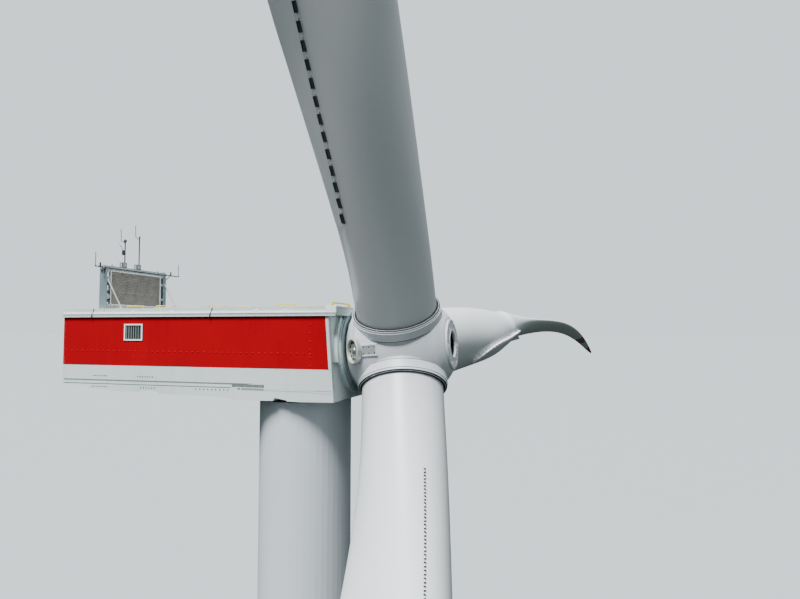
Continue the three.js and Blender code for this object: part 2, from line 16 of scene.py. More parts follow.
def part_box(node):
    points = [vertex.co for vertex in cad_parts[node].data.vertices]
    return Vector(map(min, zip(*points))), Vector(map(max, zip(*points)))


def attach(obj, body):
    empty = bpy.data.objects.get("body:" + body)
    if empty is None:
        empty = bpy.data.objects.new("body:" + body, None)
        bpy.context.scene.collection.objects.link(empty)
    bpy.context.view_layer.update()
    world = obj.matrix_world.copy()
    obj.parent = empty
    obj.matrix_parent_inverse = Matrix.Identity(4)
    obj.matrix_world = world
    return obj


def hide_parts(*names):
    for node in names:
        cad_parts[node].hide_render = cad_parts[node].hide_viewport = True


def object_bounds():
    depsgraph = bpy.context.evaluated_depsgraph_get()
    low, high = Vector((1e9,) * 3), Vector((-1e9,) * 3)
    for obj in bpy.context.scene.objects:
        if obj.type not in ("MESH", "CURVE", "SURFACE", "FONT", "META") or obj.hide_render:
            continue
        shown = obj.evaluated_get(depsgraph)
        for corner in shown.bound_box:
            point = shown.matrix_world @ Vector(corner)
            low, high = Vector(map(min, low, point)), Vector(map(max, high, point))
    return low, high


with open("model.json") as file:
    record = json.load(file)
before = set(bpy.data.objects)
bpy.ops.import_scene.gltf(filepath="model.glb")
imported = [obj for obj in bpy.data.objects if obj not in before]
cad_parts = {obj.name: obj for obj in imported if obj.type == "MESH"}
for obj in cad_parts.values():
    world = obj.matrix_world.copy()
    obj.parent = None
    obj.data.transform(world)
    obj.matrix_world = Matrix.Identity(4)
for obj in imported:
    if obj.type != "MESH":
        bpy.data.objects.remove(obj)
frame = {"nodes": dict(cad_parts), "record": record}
nodes = frame["nodes"]
cad_box = [list(corner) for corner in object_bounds()]
print("nodes:", len(nodes), "box:", cad_box)

# %% [markdown]
# ## The camera
# The picture was taken from the air, level with the housing and ahead of the rotor. The camera's
# place and lens come from the housing's straight edges, the horizon and the round blade flanges,
# which are the forms of a turbine whose true shape is known.

# %% Camera
def linked(name, data):
    """A new object for some data, in the scene."""
    made = bpy.data.objects.new(name, data)
    bpy.context.scene.collection.objects.link(made)
    return made


def look(yaw, pitch, roll):
    """Turns a camera: yaw from +Y towards -X, pitch upwards, roll about the view, in degrees."""
    y, p, r = (math.radians(a) for a in (yaw, pitch, roll))
    ahead = Vector((-math.sin(y) * math.cos(p), math.cos(y) * math.cos(p), math.sin(p)))
    side = Vector((math.cos(y), math.sin(y), 0))
    up = side.cross(ahead)
    side, up = side * math.cos(r) + up * math.sin(r), up * math.cos(r) - side * math.sin(r)
    return Matrix((side, up, -ahead)).transposed()


camera_data = bpy.data.cameras.new("camera")
camera_data.sensor_width = 36
camera_data.lens = 28.31
camera_data.clip_end = 3000
camera = linked("camera", camera_data)
camera.matrix_world = Matrix.Translation((1.1339, -2.3858, 2.015)) @ look(17.0, 2.9, 0.1).to_4x4()
bpy.context.scene.camera = camera
print("camera at", tuple(camera.location))

# %% [markdown]
# ## Floor and light
# The real light is an even overcast sky: bright from above and dim from below. A soft sun from
# above and ahead does most of the work, and a sky that is dim below the horizon fills the
# shadows. That sky would look darker than the real one, so the camera sees a plain pale dome in
# front of it, which lights nothing. The pale floor lies just below the lowest blade tip and
# throws no light back up.

# %% Colours
def rgb(code):
    """Turns an sRGB hex code such as c8d4d3 into linear colour with alpha."""
    parts = [int(code[i:i + 2], 16) / 255 for i in (0, 2, 4)]
    return tuple(c / 12.92 if c <= 0.04045 else ((c + 0.055) / 1.055) ** 2.4 for c in parts) + (1,)


def add(tree, kind, inputs=None, **settings):
    """Adds one node with its settings. An input is a plain value, or another node's output to link."""
    made = tree.nodes.new(kind)
    for key, value in settings.items():
        setattr(made, key, value)
    for key, value in (inputs or {}).items():
        if isinstance(value, bpy.types.NodeSocket):
            tree.links.new(value, made.inputs[key])
        else:
            made.inputs[key].default_value = value
    return made


def calc(tree, operation, one, other, **settings):
    """The output of a math node on two values."""
    return add(tree, "ShaderNodeMath", {0: one, 1: other}, operation=operation, **settings).outputs[0]


def set_ramp(ramp, *stops):
    """Gives a colour ramp its stops, each a position and a hex code."""
    elements = ramp.color_ramp.elements
    while len(elements) < len(stops):
        elements.new(0.5)
    for element, (position, code) in zip(elements, stops):
        element.position = position
        element.color = rgb(code)


# %% Sky
world = bpy.data.worlds.new("overcast_sky")
bpy.context.scene.world = world
world.use_nodes = True
sky = world.node_tree
sky.nodes.clear()
direction = add(sky, "ShaderNodeTexCoord")
height = add(sky, "ShaderNodeSeparateXYZ", {0: direction.outputs["Generated"]})
level = add(sky, "ShaderNodeMapRange", {"Value": height.outputs["Z"], "From Min": -1.0, "From Max": 1.0})
shade = add(sky, "ShaderNodeValToRGB", {"Fac": level.outputs[0]})
set_ramp(shade, (0.49, "4d5752"), (0.505, "8f9ba1"), (0.70, "c5d0d6"), (1.0, "ffffff"))
glow = add(sky, "ShaderNodeBackground", {"Color": shade.outputs["Color"], "Strength": 0.80})
add(sky, "ShaderNodeOutputWorld", {"Surface": glow.outputs[0]})
print("sky stops:", len(shade.color_ramp.elements))

# %% Sun
sun_data = bpy.data.lights.new("soft_sun", "SUN")
sun_data.energy = 10.0
sun_data.angle = math.radians(22)
sun = linked("soft_sun", sun_data)
sun.rotation_euler = Vector((-0.06, -0.45, 0.88)).to_track_quat("Z", "Y").to_euler()
print("sun energy:", sun_data.energy)

# %% Backdrop
bpy.ops.mesh.primitive_uv_sphere_add(segments=64, ring_count=32, radius=1400)
dome = bpy.context.object
dome.name = "backdrop"
haze = bpy.data.materials.new("plain_backdrop")
haze.use_nodes = True
haze.node_tree.nodes.clear()
glow = add(haze.node_tree, "ShaderNodeEmission", {"Color": rgb("dfe8ed"), "Strength": 1.5})
add(haze.node_tree, "ShaderNodeOutputMaterial", {"Surface": glow.outputs[0]})
haze.cycles.emission_sampling = "NONE"
dome.data.materials.append(haze)
for ray in ("diffuse", "glossy", "transmission", "volume_scatter", "shadow"):
    setattr(dome, f"visible_{ray}", False)
print("backdrop:", dome.name, "faces:", len(dome.data.polygons))

# %% Floor
def meshed(name, vertices, faces=()):
    """A new object with a mesh of points and faces, in the scene."""
    mesh = bpy.data.meshes.new(name)
    mesh.from_pydata([tuple(v) for v in vertices], [], faces)
    return linked(name, mesh)


floor_height, reach = cad_box[0][2] - 0.02, 1500
corners = [(-reach, -reach), (reach, -reach), (reach, reach), (-reach, reach)]
floor = meshed("floor", [(x, y, floor_height) for x, y in corners], [(0, 1, 2, 3)])
pale = bpy.data.materials.new("matt_pale_floor")
pale.use_nodes = True
matt = pale.node_tree.nodes["Principled BSDF"]
matt.inputs["Base Color"].default_value = rgb("9aa3a6")
matt.inputs["Roughness"].default_value = 0.9
floor.data.materials.append(pale)
floor.visible_diffuse = False
floor.visible_glossy = False
print("floor at", round(floor_height, 3))

# %% [markdown]
# ## Finishes
# Nearly everything here is painted or gelcoated, so the finishes share one recipe: a base colour
# that drifts a little over the surface, a second, slower drift of grime, a low bump like the skin
# of a sprayed or moulded coat, and a roughness that follows the grime. The recipe is one function,
# and the values that differ, in real millimetres at this scale, are its arguments.

# %% Coated surfaces
def finish(name, colour, grime, grime_amount, roughness, drift_mm, grain_mm, bump=0.15, metallic=0.0,
           streaks=0.0):
    """A coat of paint or gelcoat, or a sheet metal, as a material with its own grime and grain."""
    made = bpy.data.materials.new(name)
    made.use_nodes = True
    tree = made.node_tree
    surface = tree.nodes["Principled BSDF"]
    place = add(tree, "ShaderNodeTexCoord").outputs["Object"]
    slow = add(tree, "ShaderNodeTexNoise", {"Vector": place, "Scale": 1000 / drift_mm, "Detail": 5.0,
                                            "Roughness": 0.6})
    stretched = add(tree, "ShaderNodeMapping", {"Vector": place, "Scale": (1.0, 1.0, 0.08)})
    runs = add(tree, "ShaderNodeTexNoise", {"Vector": stretched.outputs[0], "Scale": 5000 / drift_mm,
                                            "Detail": 4.0, "Roughness": 0.65})
    patch = add(tree, "ShaderNodeMapRange", {"Value": slow.outputs[0], "From Min": 0.42, "From Max": 0.78,
                                             "To Min": 0.0, "To Max": grime_amount})
    run = add(tree, "ShaderNodeMapRange", {"Value": runs.outputs[0], "From Min": 0.5, "From Max": 0.85,
                                           "To Min": 0.0, "To Max": streaks})
    dirt = calc(tree, "ADD", patch.outputs[0], run.outputs[0], use_clamp=True)
    mixed = add(tree, "ShaderNodeMix", {0: dirt, 6: rgb(colour), 7: rgb(grime)}, data_type="RGBA")
    tree.links.new(mixed.outputs[2], surface.inputs["Base Color"])
    rough = add(tree, "ShaderNodeMapRange", {"Value": dirt, "To Min": roughness,
                                             "To Max": min(roughness + 0.3, 1)})
    tree.links.new(rough.outputs[0], surface.inputs["Roughness"])
    grain = add(tree, "ShaderNodeTexNoise", {"Vector": place, "Scale": 1000 / grain_mm, "Detail": 3.0})
    skin = add(tree, "ShaderNodeBump", {"Height": grain.outputs[0], "Strength": bump, "Distance": 0.001})
    tree.links.new(skin.outputs[0], surface.inputs["Normal"])
    surface.inputs["Metallic"].default_value = metallic
    surface.inputs["IOR"].default_value = 1.5
    return made


# %% The finishes by name
# White gelcoat over glass-fibre laminate: smooth, slightly waxy, with faint runs of dirt.
housing_gelcoat = finish("white_gelcoat_laminate", "cdd8d8", "a9b3ae", 0.35, 0.38, 420, 9, streaks=0.30)
# The same laminate on the roof, duller from weather and from being walked on.
roof_gelcoat = finish("weathered_gelcoat_laminate", "c3cfd0", "98a29f", 0.45, 0.48, 260, 7, streaks=0.2)
# Red gelcoat: deep and even, with long faint runs.
red_gelcoat = finish("red_gelcoat_laminate", "9c0012", "78000c", 0.30, 0.45, 300, 9, streaks=0.30)
# Two-part paint on rolled steel plate: a satin grey with slow, broad drift.
tower_paint = finish("painted_rolled_steel", "c9d1d6", "b3bcc0", 0.30, 0.42, 600, 6, streaks=0.25)
# Thick paint on cast iron: the sand grain of the casting still shows in it.
hub_paint = finish("painted_cast_iron", "e2e7ec", "c0c7cb", 0.30, 0.36, 260, 4, bump=0.3, streaks=0.1)
# Polyester gelcoat polished in the mould: the smoothest surface of the machine.
blade_gelcoat = finish("polished_blade_gelcoat", "e4e9ec", "ccd3d6", 0.25, 0.30, 700, 12, bump=0.06)
# Hot-dip galvanised sheet: pale, spangled and only half metallic to the eye.
galvanised_steel = finish("galvanised_steel_sheet", "c3c9ca", "9aa2a4", 0.5, 0.42, 60, 5, metallic=0.55)
# Powder-coated sheet of the cooler's side plates.
cooler_sheet = finish("powder_coated_sheet", "708188", "5f6e75", 0.4, 0.45, 90, 4)
# Aluminium fins with years of dust between them.
cooler_fins = finish("dusty_aluminium_fins", "96908c", "6c6662", 0.6, 0.6, 40, 3, metallic=0.4)
# Blackened steel of the shaft, bearings and masts. It also serves as painted shade: the blades' suction
# vanes, the sill's drain slits and holes, and the shadow strip on the cooler's top beam.
dark_steel = finish("blackened_steel_and_painted_shade", "454d50", "2c3133", 0.5, 0.42, 80, 3, metallic=0.6)
# Yellow safety paint on tube.
yellow_paint = finish("yellow_safety_paint", "d6bf2c", "9c8c30", 0.4, 0.45, 60, 3)
# Black rubber of seals and joints, greyed by weather. The same grey-black is also painted shade: in the
# sill's grooves, under the red band and the flange bands, under the front fascia, on the blades' root fins
# and on the manhole's step.
seal_rubber = finish("weathered_rubber_and_painted_shade", "2c3a3d", "435053", 0.5, 0.65, 70, 2)
# Near-black rubber, made darker as painted shade: the flange rings' lips stand for the dark of their gaps,
# and the manhole's floor and liner for its shaded inside. The roof's joints use it as their black rubber.
black_rubber_and_painted_shade = finish("black_rubber_lip_and_painted_shade", "0b0f10", "1d2324", 0.4, 0.7, 60, 2)
# Zinc-plated bolts.
bolt_zinc = finish("zinc_plated_bolts", "a9afb1", "6f7678", 0.5, 0.35, 10, 1, metallic=0.8)
# White mouldings: the bead and blocks of the roof's edge, the louvres' frames, the third blade's strip.
# Their white is brighter than the blade's gelcoat, partly as painted light for the sky light that the third
# blade's strip catches.
white_bead_and_painted_light = finish("white_moulding_and_painted_light", "f4f8f8", "d4dada", 0.2, 0.35, 200, 6)

slots = {"tower_paint": tower_paint, "housing_gelcoat": housing_gelcoat, "roof_gelcoat": roof_gelcoat,
         "red_gelcoat": red_gelcoat, "blade_gelcoat": blade_gelcoat, "hub_paint": hub_paint,
         "dark_steel": dark_steel, "galvanised_steel": galvanised_steel, "cooler_sheet": cooler_sheet,
         "cooler_fins": cooler_fins, "yellow_paint": yellow_paint, "seal_rubber": seal_rubber}
# The round seal behind the rotor: a fabric-backed grey-green rubber, made pale as painted light against the
# shade it lies in behind the hub.
seal_with_painted_light = finish("fabric_rubber_with_painted_light", "8fa4a7", "76898c", 0.5, 0.7, 50, 2)
# The rivets' red is a little paler than the red coat round them: a painted highlight on their domes.
rivet_red_painted_highlight = finish("red_rivets_painted_highlight", "b01c22", "901018", 0.3, 0.5, 20, 2)
# The red coat and its rivets are duller than the white one, so the sky hardly shows in them.
for coat in (red_gelcoat, rivet_red_painted_highlight):
    coat.node_tree.nodes["Principled BSDF"].inputs["Specular IOR Level"].default_value = 0.05
for part in frame["record"]["subparts"]:
    mesh = nodes[part["node"]].data
    mesh.materials.clear()
    mesh.materials.append(slots[part["material_slot"]])
nodes["rotor_seal"].data.materials[0] = seal_with_painted_light
# The louvres' slats are of bare sheet that has gone dark with dust.
louvre_sheet = finish("dusty_louvre_sheet", "6d7877", "4c5555", 0.5, 0.5, 50, 4)
for label in ("left", "right"):
    nodes[f"side_louvre_{label}"].data.materials[0] = louvre_sheet

# %% [markdown]
# ## Placing turned forms
# A hub, a flange and a port are turned forms: one profile spun about an axis. On the real machine
# they come off a lathe or out of a round mould. One function spins a closed profile in mesh code,
# and others give the frames of the rotor and of each blade, so that every ring and bolt can be
# made upright and then moved to its place, with its place kept in the mesh.

# %% Pieces
def piece(name, vertices, faces, material, body, smooth=False):
    """Makes a mesh piece with its place in its vertices, its material's slot and its body."""
    made = meshed(name, vertices, faces)
    made.data.validate()
    return dress(made, material, body, smooth)


def welded(made):
    """Joins the points of an object that meet, and turns its faces outwards."""
    bm = bmesh.new()
    bm.from_mesh(made.data)
    bmesh.ops.remove_doubles(bm, verts=bm.verts, dist=1e-6)
    bmesh.ops.recalc_face_normals(bm, faces=bm.faces)
    bm.to_mesh(made.data)
    bm.free()
    return made


def dress(made, material, body, smooth=False):
    """Gives a piece its material, its shading and the body that it rides on.
    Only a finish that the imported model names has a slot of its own."""
    mesh = welded(made).data
    if smooth:
        mesh.shade_smooth()
        mesh.set_sharp_from_angle(angle=math.radians(40))
    else:
        mesh.shade_flat()
    mesh.materials.clear()
    mesh.materials.append(material)
    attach(made, body)
    return made


# %% Plain shapes
def spun(profile, segments=96):
    """Vertices and faces of a closed profile of [radius, height] points in metres, spun about Z."""
    count = len(profile)
    vertices = [(r * math.cos(2 * math.pi * k / segments), r * math.sin(2 * math.pi * k / segments), z)
                for k in range(segments) for r, z in profile]
    faces = []
    for k in range(segments):
        here, there = k * count, ((k + 1) % segments) * count
        for i in range(count):
            j = (i + 1) % count
            faces.append((here + i, there + i, there + j, here + j))
    return vertices, faces


def plug(radius, low, high, segments=96):
    """A closed cylinder about Z, to add to a form or to cut out of it."""
    core = 0.0001
    return spun([(core, low), (radius, low), (radius, high), (core, high)], segments)


def box_shape(x, y, z):
    """Vertices and faces of a box between two limits along each axis."""
    faces = [(0, 1, 3, 2), (4, 6, 7, 5), (0, 4, 5, 1), (2, 3, 7, 6), (0, 2, 6, 4), (1, 5, 7, 3)]
    return [(a, b, c) for a in x for b in y for c in z], faces


def sleeve_faces(sections, count):
    """Faces of a sleeve over closed sections of as many points each, with a cap at both ends."""
    faces = []
    for k in range(sections - 1):
        here, there = k * count, (k + 1) * count
        faces += [(here + i, here + (i + 1) % count, there + (i + 1) % count, there + i)
                  for i in range(count)]
    return faces + [tuple(range(count)), tuple(there + i for i in reversed(range(count)))]


def placed(vertices, matrix):
    """The vertices moved by a matrix."""
    return [matrix @ Vector(v) for v in vertices]


# %% Frames of the rotor
mm = 0.001
tilt, cone = math.radians(4.3), math.radians(5.4)
hub_centre = Vector((413, 0, 1951)) * mm
azimuth = {1: 122, 2: 242, 3: 2}
rest_pitch = {1: 78, 2: 78, 3: 106}
rotor_frame = Matrix.Translation(hub_centre) @ Matrix.Rotation(-tilt, 4, "Y")
# Stands a form that was turned about Z along the rotor's axis, which is X in the rotor's frame.
along_axis = rotor_frame @ Matrix.Rotation(math.radians(90), 4, "Y")


def root_frame(number):
    """The frame of a blade's bearing: its span is Y."""
    return (rotor_frame @ Matrix.Rotation(math.radians(azimuth[number]), 4, "X")
            @ Matrix.Rotation(-cone, 4, "Z"))


def span_up(number):
    """Stands a form that was turned about Z along the span of a blade."""
    return root_frame(number) @ Matrix.Rotation(math.radians(-90), 4, "X")


def blade_frame(number):
    """The frame of a blade at the pitch it has in the picture."""
    return root_frame(number) @ Matrix.Rotation(-math.radians(rest_pitch[number]), 4, "Y")


print("rotor axis:", tuple(round(v, 4) for v in rotor_frame.col[0][:3]))

# %% [markdown]
# ## What repeats
# Rivets, bolts, studs, fins and slats repeat in rows and rings. Placing them by hand would be slow,
# and an array modifier follows straight lines only, so Geometry Nodes do it: a mesh of bare points
# carries, for each copy, the way it faces and the way it lies, and a small tree puts one shape on
# every point. Each tree ends in real geometry with its finish, so that it can be kept as a mesh.

# %% Trees for repeated shapes
def new_tree(name, *sizes):
    """A geometry tree with an input for its points, named inputs for its sizes and one for its finish."""
    tree = bpy.data.node_groups.new(name, "GeometryNodeTree")
    tree.interface.new_socket("Points", in_out="INPUT", socket_type="NodeSocketGeometry")
    for size in sizes:
        tree.interface.new_socket(size, in_out="INPUT", socket_type="NodeSocketFloat")
    tree.interface.new_socket("Finish", in_out="INPUT", socket_type="NodeSocketMaterial")
    tree.interface.new_socket("Geometry", in_out="OUTPUT", socket_type="NodeSocketGeometry")
    return tree, add(tree, "NodeGroupInput").outputs


def lifted(tree, shape, height):
    """Moves a shape up by half its height, so that it stands on its point."""
    up = add(tree, "ShaderNodeCombineXYZ", {"Z": calc(tree, "MULTIPLY", height, 0.5)})
    return add(tree, "GeometryNodeTransform", {"Geometry": shape, "Translation": up.outputs[0]}).outputs[0]


def end_tree(tree, entry, shape):
    """Puts the shape on every point, turned to that point's directions, and makes the copies real."""
    facing = add(tree, "GeometryNodeInputNamedAttribute", {"Name": "facing"}, data_type="FLOAT_VECTOR")
    lying = add(tree, "GeometryNodeInputNamedAttribute", {"Name": "lying"}, data_type="FLOAT_VECTOR")
    turn = add(tree, "FunctionNodeAxesToRotation", {0: facing.outputs[0], 1: lying.outputs[0]},
               primary_axis="Z", secondary_axis="X")
    copies = add(tree, "GeometryNodeInstanceOnPoints", {"Points": entry["Points"], "Instance": shape,
                                                        "Rotation": turn.outputs[0]})
    real = add(tree, "GeometryNodeRealizeInstances", {0: copies.outputs[0]})
    dressed = add(tree, "GeometryNodeSetMaterial", {"Geometry": real.outputs[0],
                                                    "Material": entry["Finish"]})
    add(tree, "NodeGroupOutput", {0: dressed.outputs[0]})
    return tree


def make_bolt_tree():
    """A hexagon head on a round washer."""
    tree, entry = new_tree("bolt_heads", "Radius", "Height")
    head = add(tree, "GeometryNodeMeshCylinder", {"Vertices": 6, "Radius": entry["Radius"],
                                                  "Depth": entry["Height"]})
    wide = calc(tree, "MULTIPLY", entry["Radius"], 1.5)
    thin = calc(tree, "MULTIPLY", entry["Height"], 0.3)
    washer = add(tree, "GeometryNodeMeshCylinder", {"Vertices": 12, "Radius": wide, "Depth": thin})
    both = add(tree, "GeometryNodeJoinGeometry")
    for shape in (lifted(tree, head.outputs["Mesh"], entry["Height"]),
                  lifted(tree, washer.outputs["Mesh"], thin)):
        tree.links.new(shape, both.inputs[0])
    return end_tree(tree, entry, both.outputs[0])


def make_rivet_tree():
    """A low round head with sloping sides."""
    tree, entry = new_tree("rivet_heads", "Radius", "Height")
    top = calc(tree, "MULTIPLY", entry["Radius"], 0.6)
    dome = add(tree, "GeometryNodeMeshCone", {"Vertices": 10, "Radius Top": top,
                                              "Radius Bottom": entry["Radius"], "Depth": entry["Height"]})
    return end_tree(tree, entry, dome.outputs["Mesh"])


def make_block_tree():
    """A flat bar: slats, fins, vanes and slots."""
    tree, entry = new_tree("flat_bars", "Length", "Width", "Height")
    size = add(tree, "ShaderNodeCombineXYZ", {"X": entry["Length"], "Y": entry["Width"],
                                              "Z": entry["Height"]})
    bar = add(tree, "GeometryNodeMeshCube", {"Size": size.outputs[0]})
    return end_tree(tree, entry, lifted(tree, bar.outputs["Mesh"], entry["Height"]))


bolt_tree, rivet_tree, block_tree = make_bolt_tree(), make_rivet_tree(), make_block_tree()
print("trees:", [tree.name for tree in (bolt_tree, rivet_tree, block_tree)])


# %% Putting a tree on points
def baked(made):
    """Replaces an object's mesh by its evaluated one and drops the modifiers."""
    graph = bpy.context.evaluated_depsgraph_get()
    result = bpy.data.meshes.new_from_object(made.evaluated_get(graph))
    made.modifiers.clear()
    made.data = result
    return made


def repeated(name, places, tree, sizes, material, body):
    """One mesh of a tree's shape on many places, each a point, the way it faces and the way it lies."""
    made = meshed(name, [place[0] for place in places])
    for label, index in (("facing", 1), ("lying", 2)):
        directions = made.data.attributes.new(label, "FLOAT_VECTOR", "POINT")
        directions.data.foreach_set("vector", [c for place in places for c in place[index]])
    modifier = made.modifiers.new("repeat", "NODES")
    modifier.node_group = tree
    for socket in tree.interface.items_tree:
        if socket.name in sizes:
            modifier[socket.identifier] = sizes[socket.name]
        elif socket.name == "Finish":
            modifier[socket.identifier] = material
    dress(baked(made), material, body)
    print(name, "copies:", len(places), "faces:", len(made.data.polygons))
    return made


def moved(places, matrix):
    """The same places in another frame."""
    turn_only = matrix.to_3x3()
    return [(matrix @ Vector(point), turn_only @ Vector(facing), turn_only @ Vector(lying))
            for point, facing, lying in places]


def ring_places(matrix, radius, height, count):
    """Places on a circle about a frame's Z axis, facing along it, each lying outwards."""
    places = []
    for k in range(count):
        angle = 2 * math.pi * k / count
        out = Vector((math.cos(angle), math.sin(angle), 0))
        places.append((out * radius + Vector((0, 0, height)), (0, 0, 1), out))
    return moved(places, matrix)


def row(start, end, gap, facing):
    """Places along a straight line, about a gap apart."""
    start, end = Vector(start), Vector(end)
    count = max(round((end - start).length / gap), 1)
    lying = (end - start).normalized()
    return [(start.lerp(end, k / count), Vector(facing), lying) for k in range(count + 1)]


# %% [markdown]
# ## The blades
# A real blade is two moulded shells glued together: round at the root, a thick wing at a fifth of
# its length, and a thin one at the tip. Its sections follow a rule, the same one as the model's
# solids, so the skin is made from that rule again with many more sections. Each point keeps its
# distance along the span, for the finish to read.

# %% Blade sections
root_radius, root_at = 0.1544, 0.1681
widest_at, widest_chord, tip_at = 1.45, 0.412, 7.473
strip_start, strip_end = 1.742, 3.102
# From the round root the chord swells to its widest, and the section thins into a wing.
swell_from, wing_from = 0.30, 0.25
thinnest, tip_chord = 0.17, 0.17
tip_bend, tip_sweep, root_twist = 0.541, 0.18, math.radians(21.4)
# Points round one section of the skin.
around = 72


def eased(t):
    """Rises smoothly from 0 to 1."""
    t = np.clip(t, 0, 1)
    return t * t * (3 - 2 * t)


def blade_outline(at, angle):
    """Points of a section in the blade's frame, at angles round it: negative on the pressure side."""
    if at < widest_at:
        grown = eased((at - swell_from) / (widest_at - swell_from))
        chord = 2 * root_radius + (widest_chord - 2 * root_radius) * grown
        lead = root_radius - 0.018 * grown
    else:
        outer = (at - widest_at) / (tip_at - widest_at)
        taper = (1 - (1 - tip_chord) * outer ** 0.82) * math.sqrt(max(1 - outer ** 14, 0.0004))
        chord = widest_chord * taper
        lead = chord * (0.33 + 0.04 * (1 - outer))
    ratio = min(thinnest + (1 - thinnest) * (1 - eased((at - wing_from) / 2.6)) ** 1.4, 1)
    wing = eased(at - wing_from)
    t = (at - root_at) / (tip_at - root_at)
    forward, back = -tip_bend * t ** 4.4, tip_sweep * t ** 2.75
    twist = root_twist * (1 - t) ** 2.2 * eased((at - wing_from) / 0.9)
    x = (1 + np.cos(angle)) / 2
    round_side = 0.5 * np.sin(angle) * ratio
    # The usual thickness rule of a wing section, with a closed trailing edge and a little camber.
    foil = 5 * ratio * (0.2969 * np.sqrt(x) - 0.126 * x - 0.3516 * x ** 2 + 0.2843 * x ** 3
                        - 0.0936 * x ** 4)
    wing_side = np.sign(np.sin(angle)) * foil + 0.1 * x * (1 - x)
    depth = -chord * (round_side + (wing_side - round_side) * wing)
    along = lead - x * chord - back
    return np.stack([forward + depth * np.cos(twist) + along * np.sin(twist), np.full(len(angle), at),
                     depth * np.sin(twist) - along * np.cos(twist)], axis=1)


def blade_section(at):
    """One whole section, from the trailing edge round."""
    return blade_outline(at, -2 * np.pi * (np.arange(around) + 0.5) / around)


def on_blade(at, share, side):
    """A point of the skin, at a share of the chord from the leading edge, with its outward, aft and
    span directions. The side is 1 for the pressure side and -1 for the suction side."""
    angle = -side * np.arccos(2 * share - 1)
    turn, stride = 0.02, 0.01
    here, behind, out = (Vector(p[0]) for p in (blade_outline(at, np.array([angle])),
                                                 blade_outline(at, np.array([angle + side * turn])),
                                                 blade_outline(at + stride, np.array([angle]))))
    aft = (behind - here).normalized()
    span = (out - here).normalized()
    outward = (span.cross(aft) * side).normalized()
    return here, outward, aft, span


inner_sections, outer_sections = 90, 110
stations = np.concatenate([np.linspace(root_at, strip_end, inner_sections, endpoint=False),
                           tip_at - (tip_at - strip_end) * np.linspace(1, 0, outer_sections) ** 1.5])
print("blade sections:", len(stations))

# %% Blade finish
# The recipe of the polished gelcoat, with the two dark red bands near the tip added by distance.
def banded(base, name):
    """A copy of the blade's finish that turns dark red in two bands near the tip."""
    made = base.copy()
    made.name = name
    tree = made.node_tree
    surface = tree.nodes["Principled BSDF"]
    span = add(tree, "ShaderNodeAttribute", attribute_name="span").outputs["Fac"]
    band = 0.39
    steps = [calc(tree, "GREATER_THAN", span, tip_at - k * band) for k in (3, 2, 1)]
    both = calc(tree, "ADD", calc(tree, "SUBTRACT", steps[0], steps[1]), steps[2], use_clamp=True)
    plain = surface.inputs["Base Color"].links[0].from_socket
    mixed = add(tree, "ShaderNodeMix", {0: both, 6: plain, 7: rgb("8c1418")}, data_type="RGBA")
    tree.links.new(mixed.outputs[2], surface.inputs["Base Color"])
    return made


blade_finish = banded(blade_gelcoat, "polished_blade_gelcoat_with_red_bands")
slots["blade_gelcoat"] = blade_finish
print("blade finish:", blade_finish.name)

# %% Blade skins
sections = np.concatenate([blade_section(at) for at in stations])
faces = sleeve_faces(len(stations), around)
for number in (1, 2, 3):
    points = placed(sections, blade_frame(number))
    skin = piece(f"blade_{number}_skin", points, faces, blade_finish, f"blade_{number}", smooth=True)
    span = skin.data.attributes.new("span", "FLOAT", "POINT")
    inverse = blade_frame(number).inverted()
    span.data.foreach_set("value", [(inverse @ v.co).y for v in skin.data.vertices])
    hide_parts(f"blade_{number}")
print("blade skin faces:", len(faces))

# %% [markdown]
# ## The hub
# The hub is one iron casting: a ball-like body with three round necks, and soft fillets where they
# meet, because a casting has no sharp inner corner. Spinning the body and the necks, melting them
# together with a voxel remesh and smoothing the result a little gives those fillets by itself.

# %% Hub casting
body_profile = [(0.0001, -0.179), (0.143, -0.179), (0.151, -0.171), (0.202, -0.121), (0.2085, -0.095),
                (0.210, -0.071), (0.2085, 0.0), (0.204, 0.035), (0.195, 0.069), (0.184, 0.101),
                (0.170, 0.129), (0.1375, 0.173), (0.109, 0.195), (0.100, 0.198), (0.0001, 0.198)]
neck_radius, neck_foot, neck_top = 0.1665, 0.03, 0.1665


def joined(name, parts):
    """One object from several lists of vertices and faces."""
    vertices, faces = [], []
    for some_vertices, some_faces in parts:
        faces += [tuple(i + len(vertices) for i in face) for face in some_faces]
        vertices += some_vertices
    return welded(meshed(name, vertices, faces))


def carved(made, cutters):
    """Cuts closed forms, each a list of vertices and one of faces, out of an object."""
    for index, part in enumerate(cutters):
        cutter = joined(f"cutter_{index}", [part])
        carve = made.modifiers.new("carve", "BOOLEAN")
        carve.object = cutter
        carve.solver = "EXACT"
        baked(made)
        bpy.data.objects.remove(cutter)


vertices, faces = spun(body_profile)
parts = [(placed(vertices, along_axis), faces)]
for number in (1, 2, 3):
    vertices, faces = plug(neck_radius, neck_foot, neck_top)
    parts.append((placed(vertices, span_up(number)), faces))
casting = joined("hub_casting", parts)
melt = casting.modifiers.new("melt", "REMESH")
melt.mode = "VOXEL"
melt.voxel_size = 0.003
soften = casting.modifiers.new("soften", "SMOOTH")
soften.factor = 0.5
soften.iterations = 6
baked(casting)
print("hub casting faces:", len(casting.data.polygons))

# %% Hub openings
# The manhole and the three ports are cut after smoothing, so that their rims stay crisp.
port_radius, port_floor, port_top = 0.0475, -0.0105, 0.08
port_lean, port_azimuth = math.radians(44), 58
seat_radius, seat_floor, seat_top = 0.0962, 0.128, 0.25


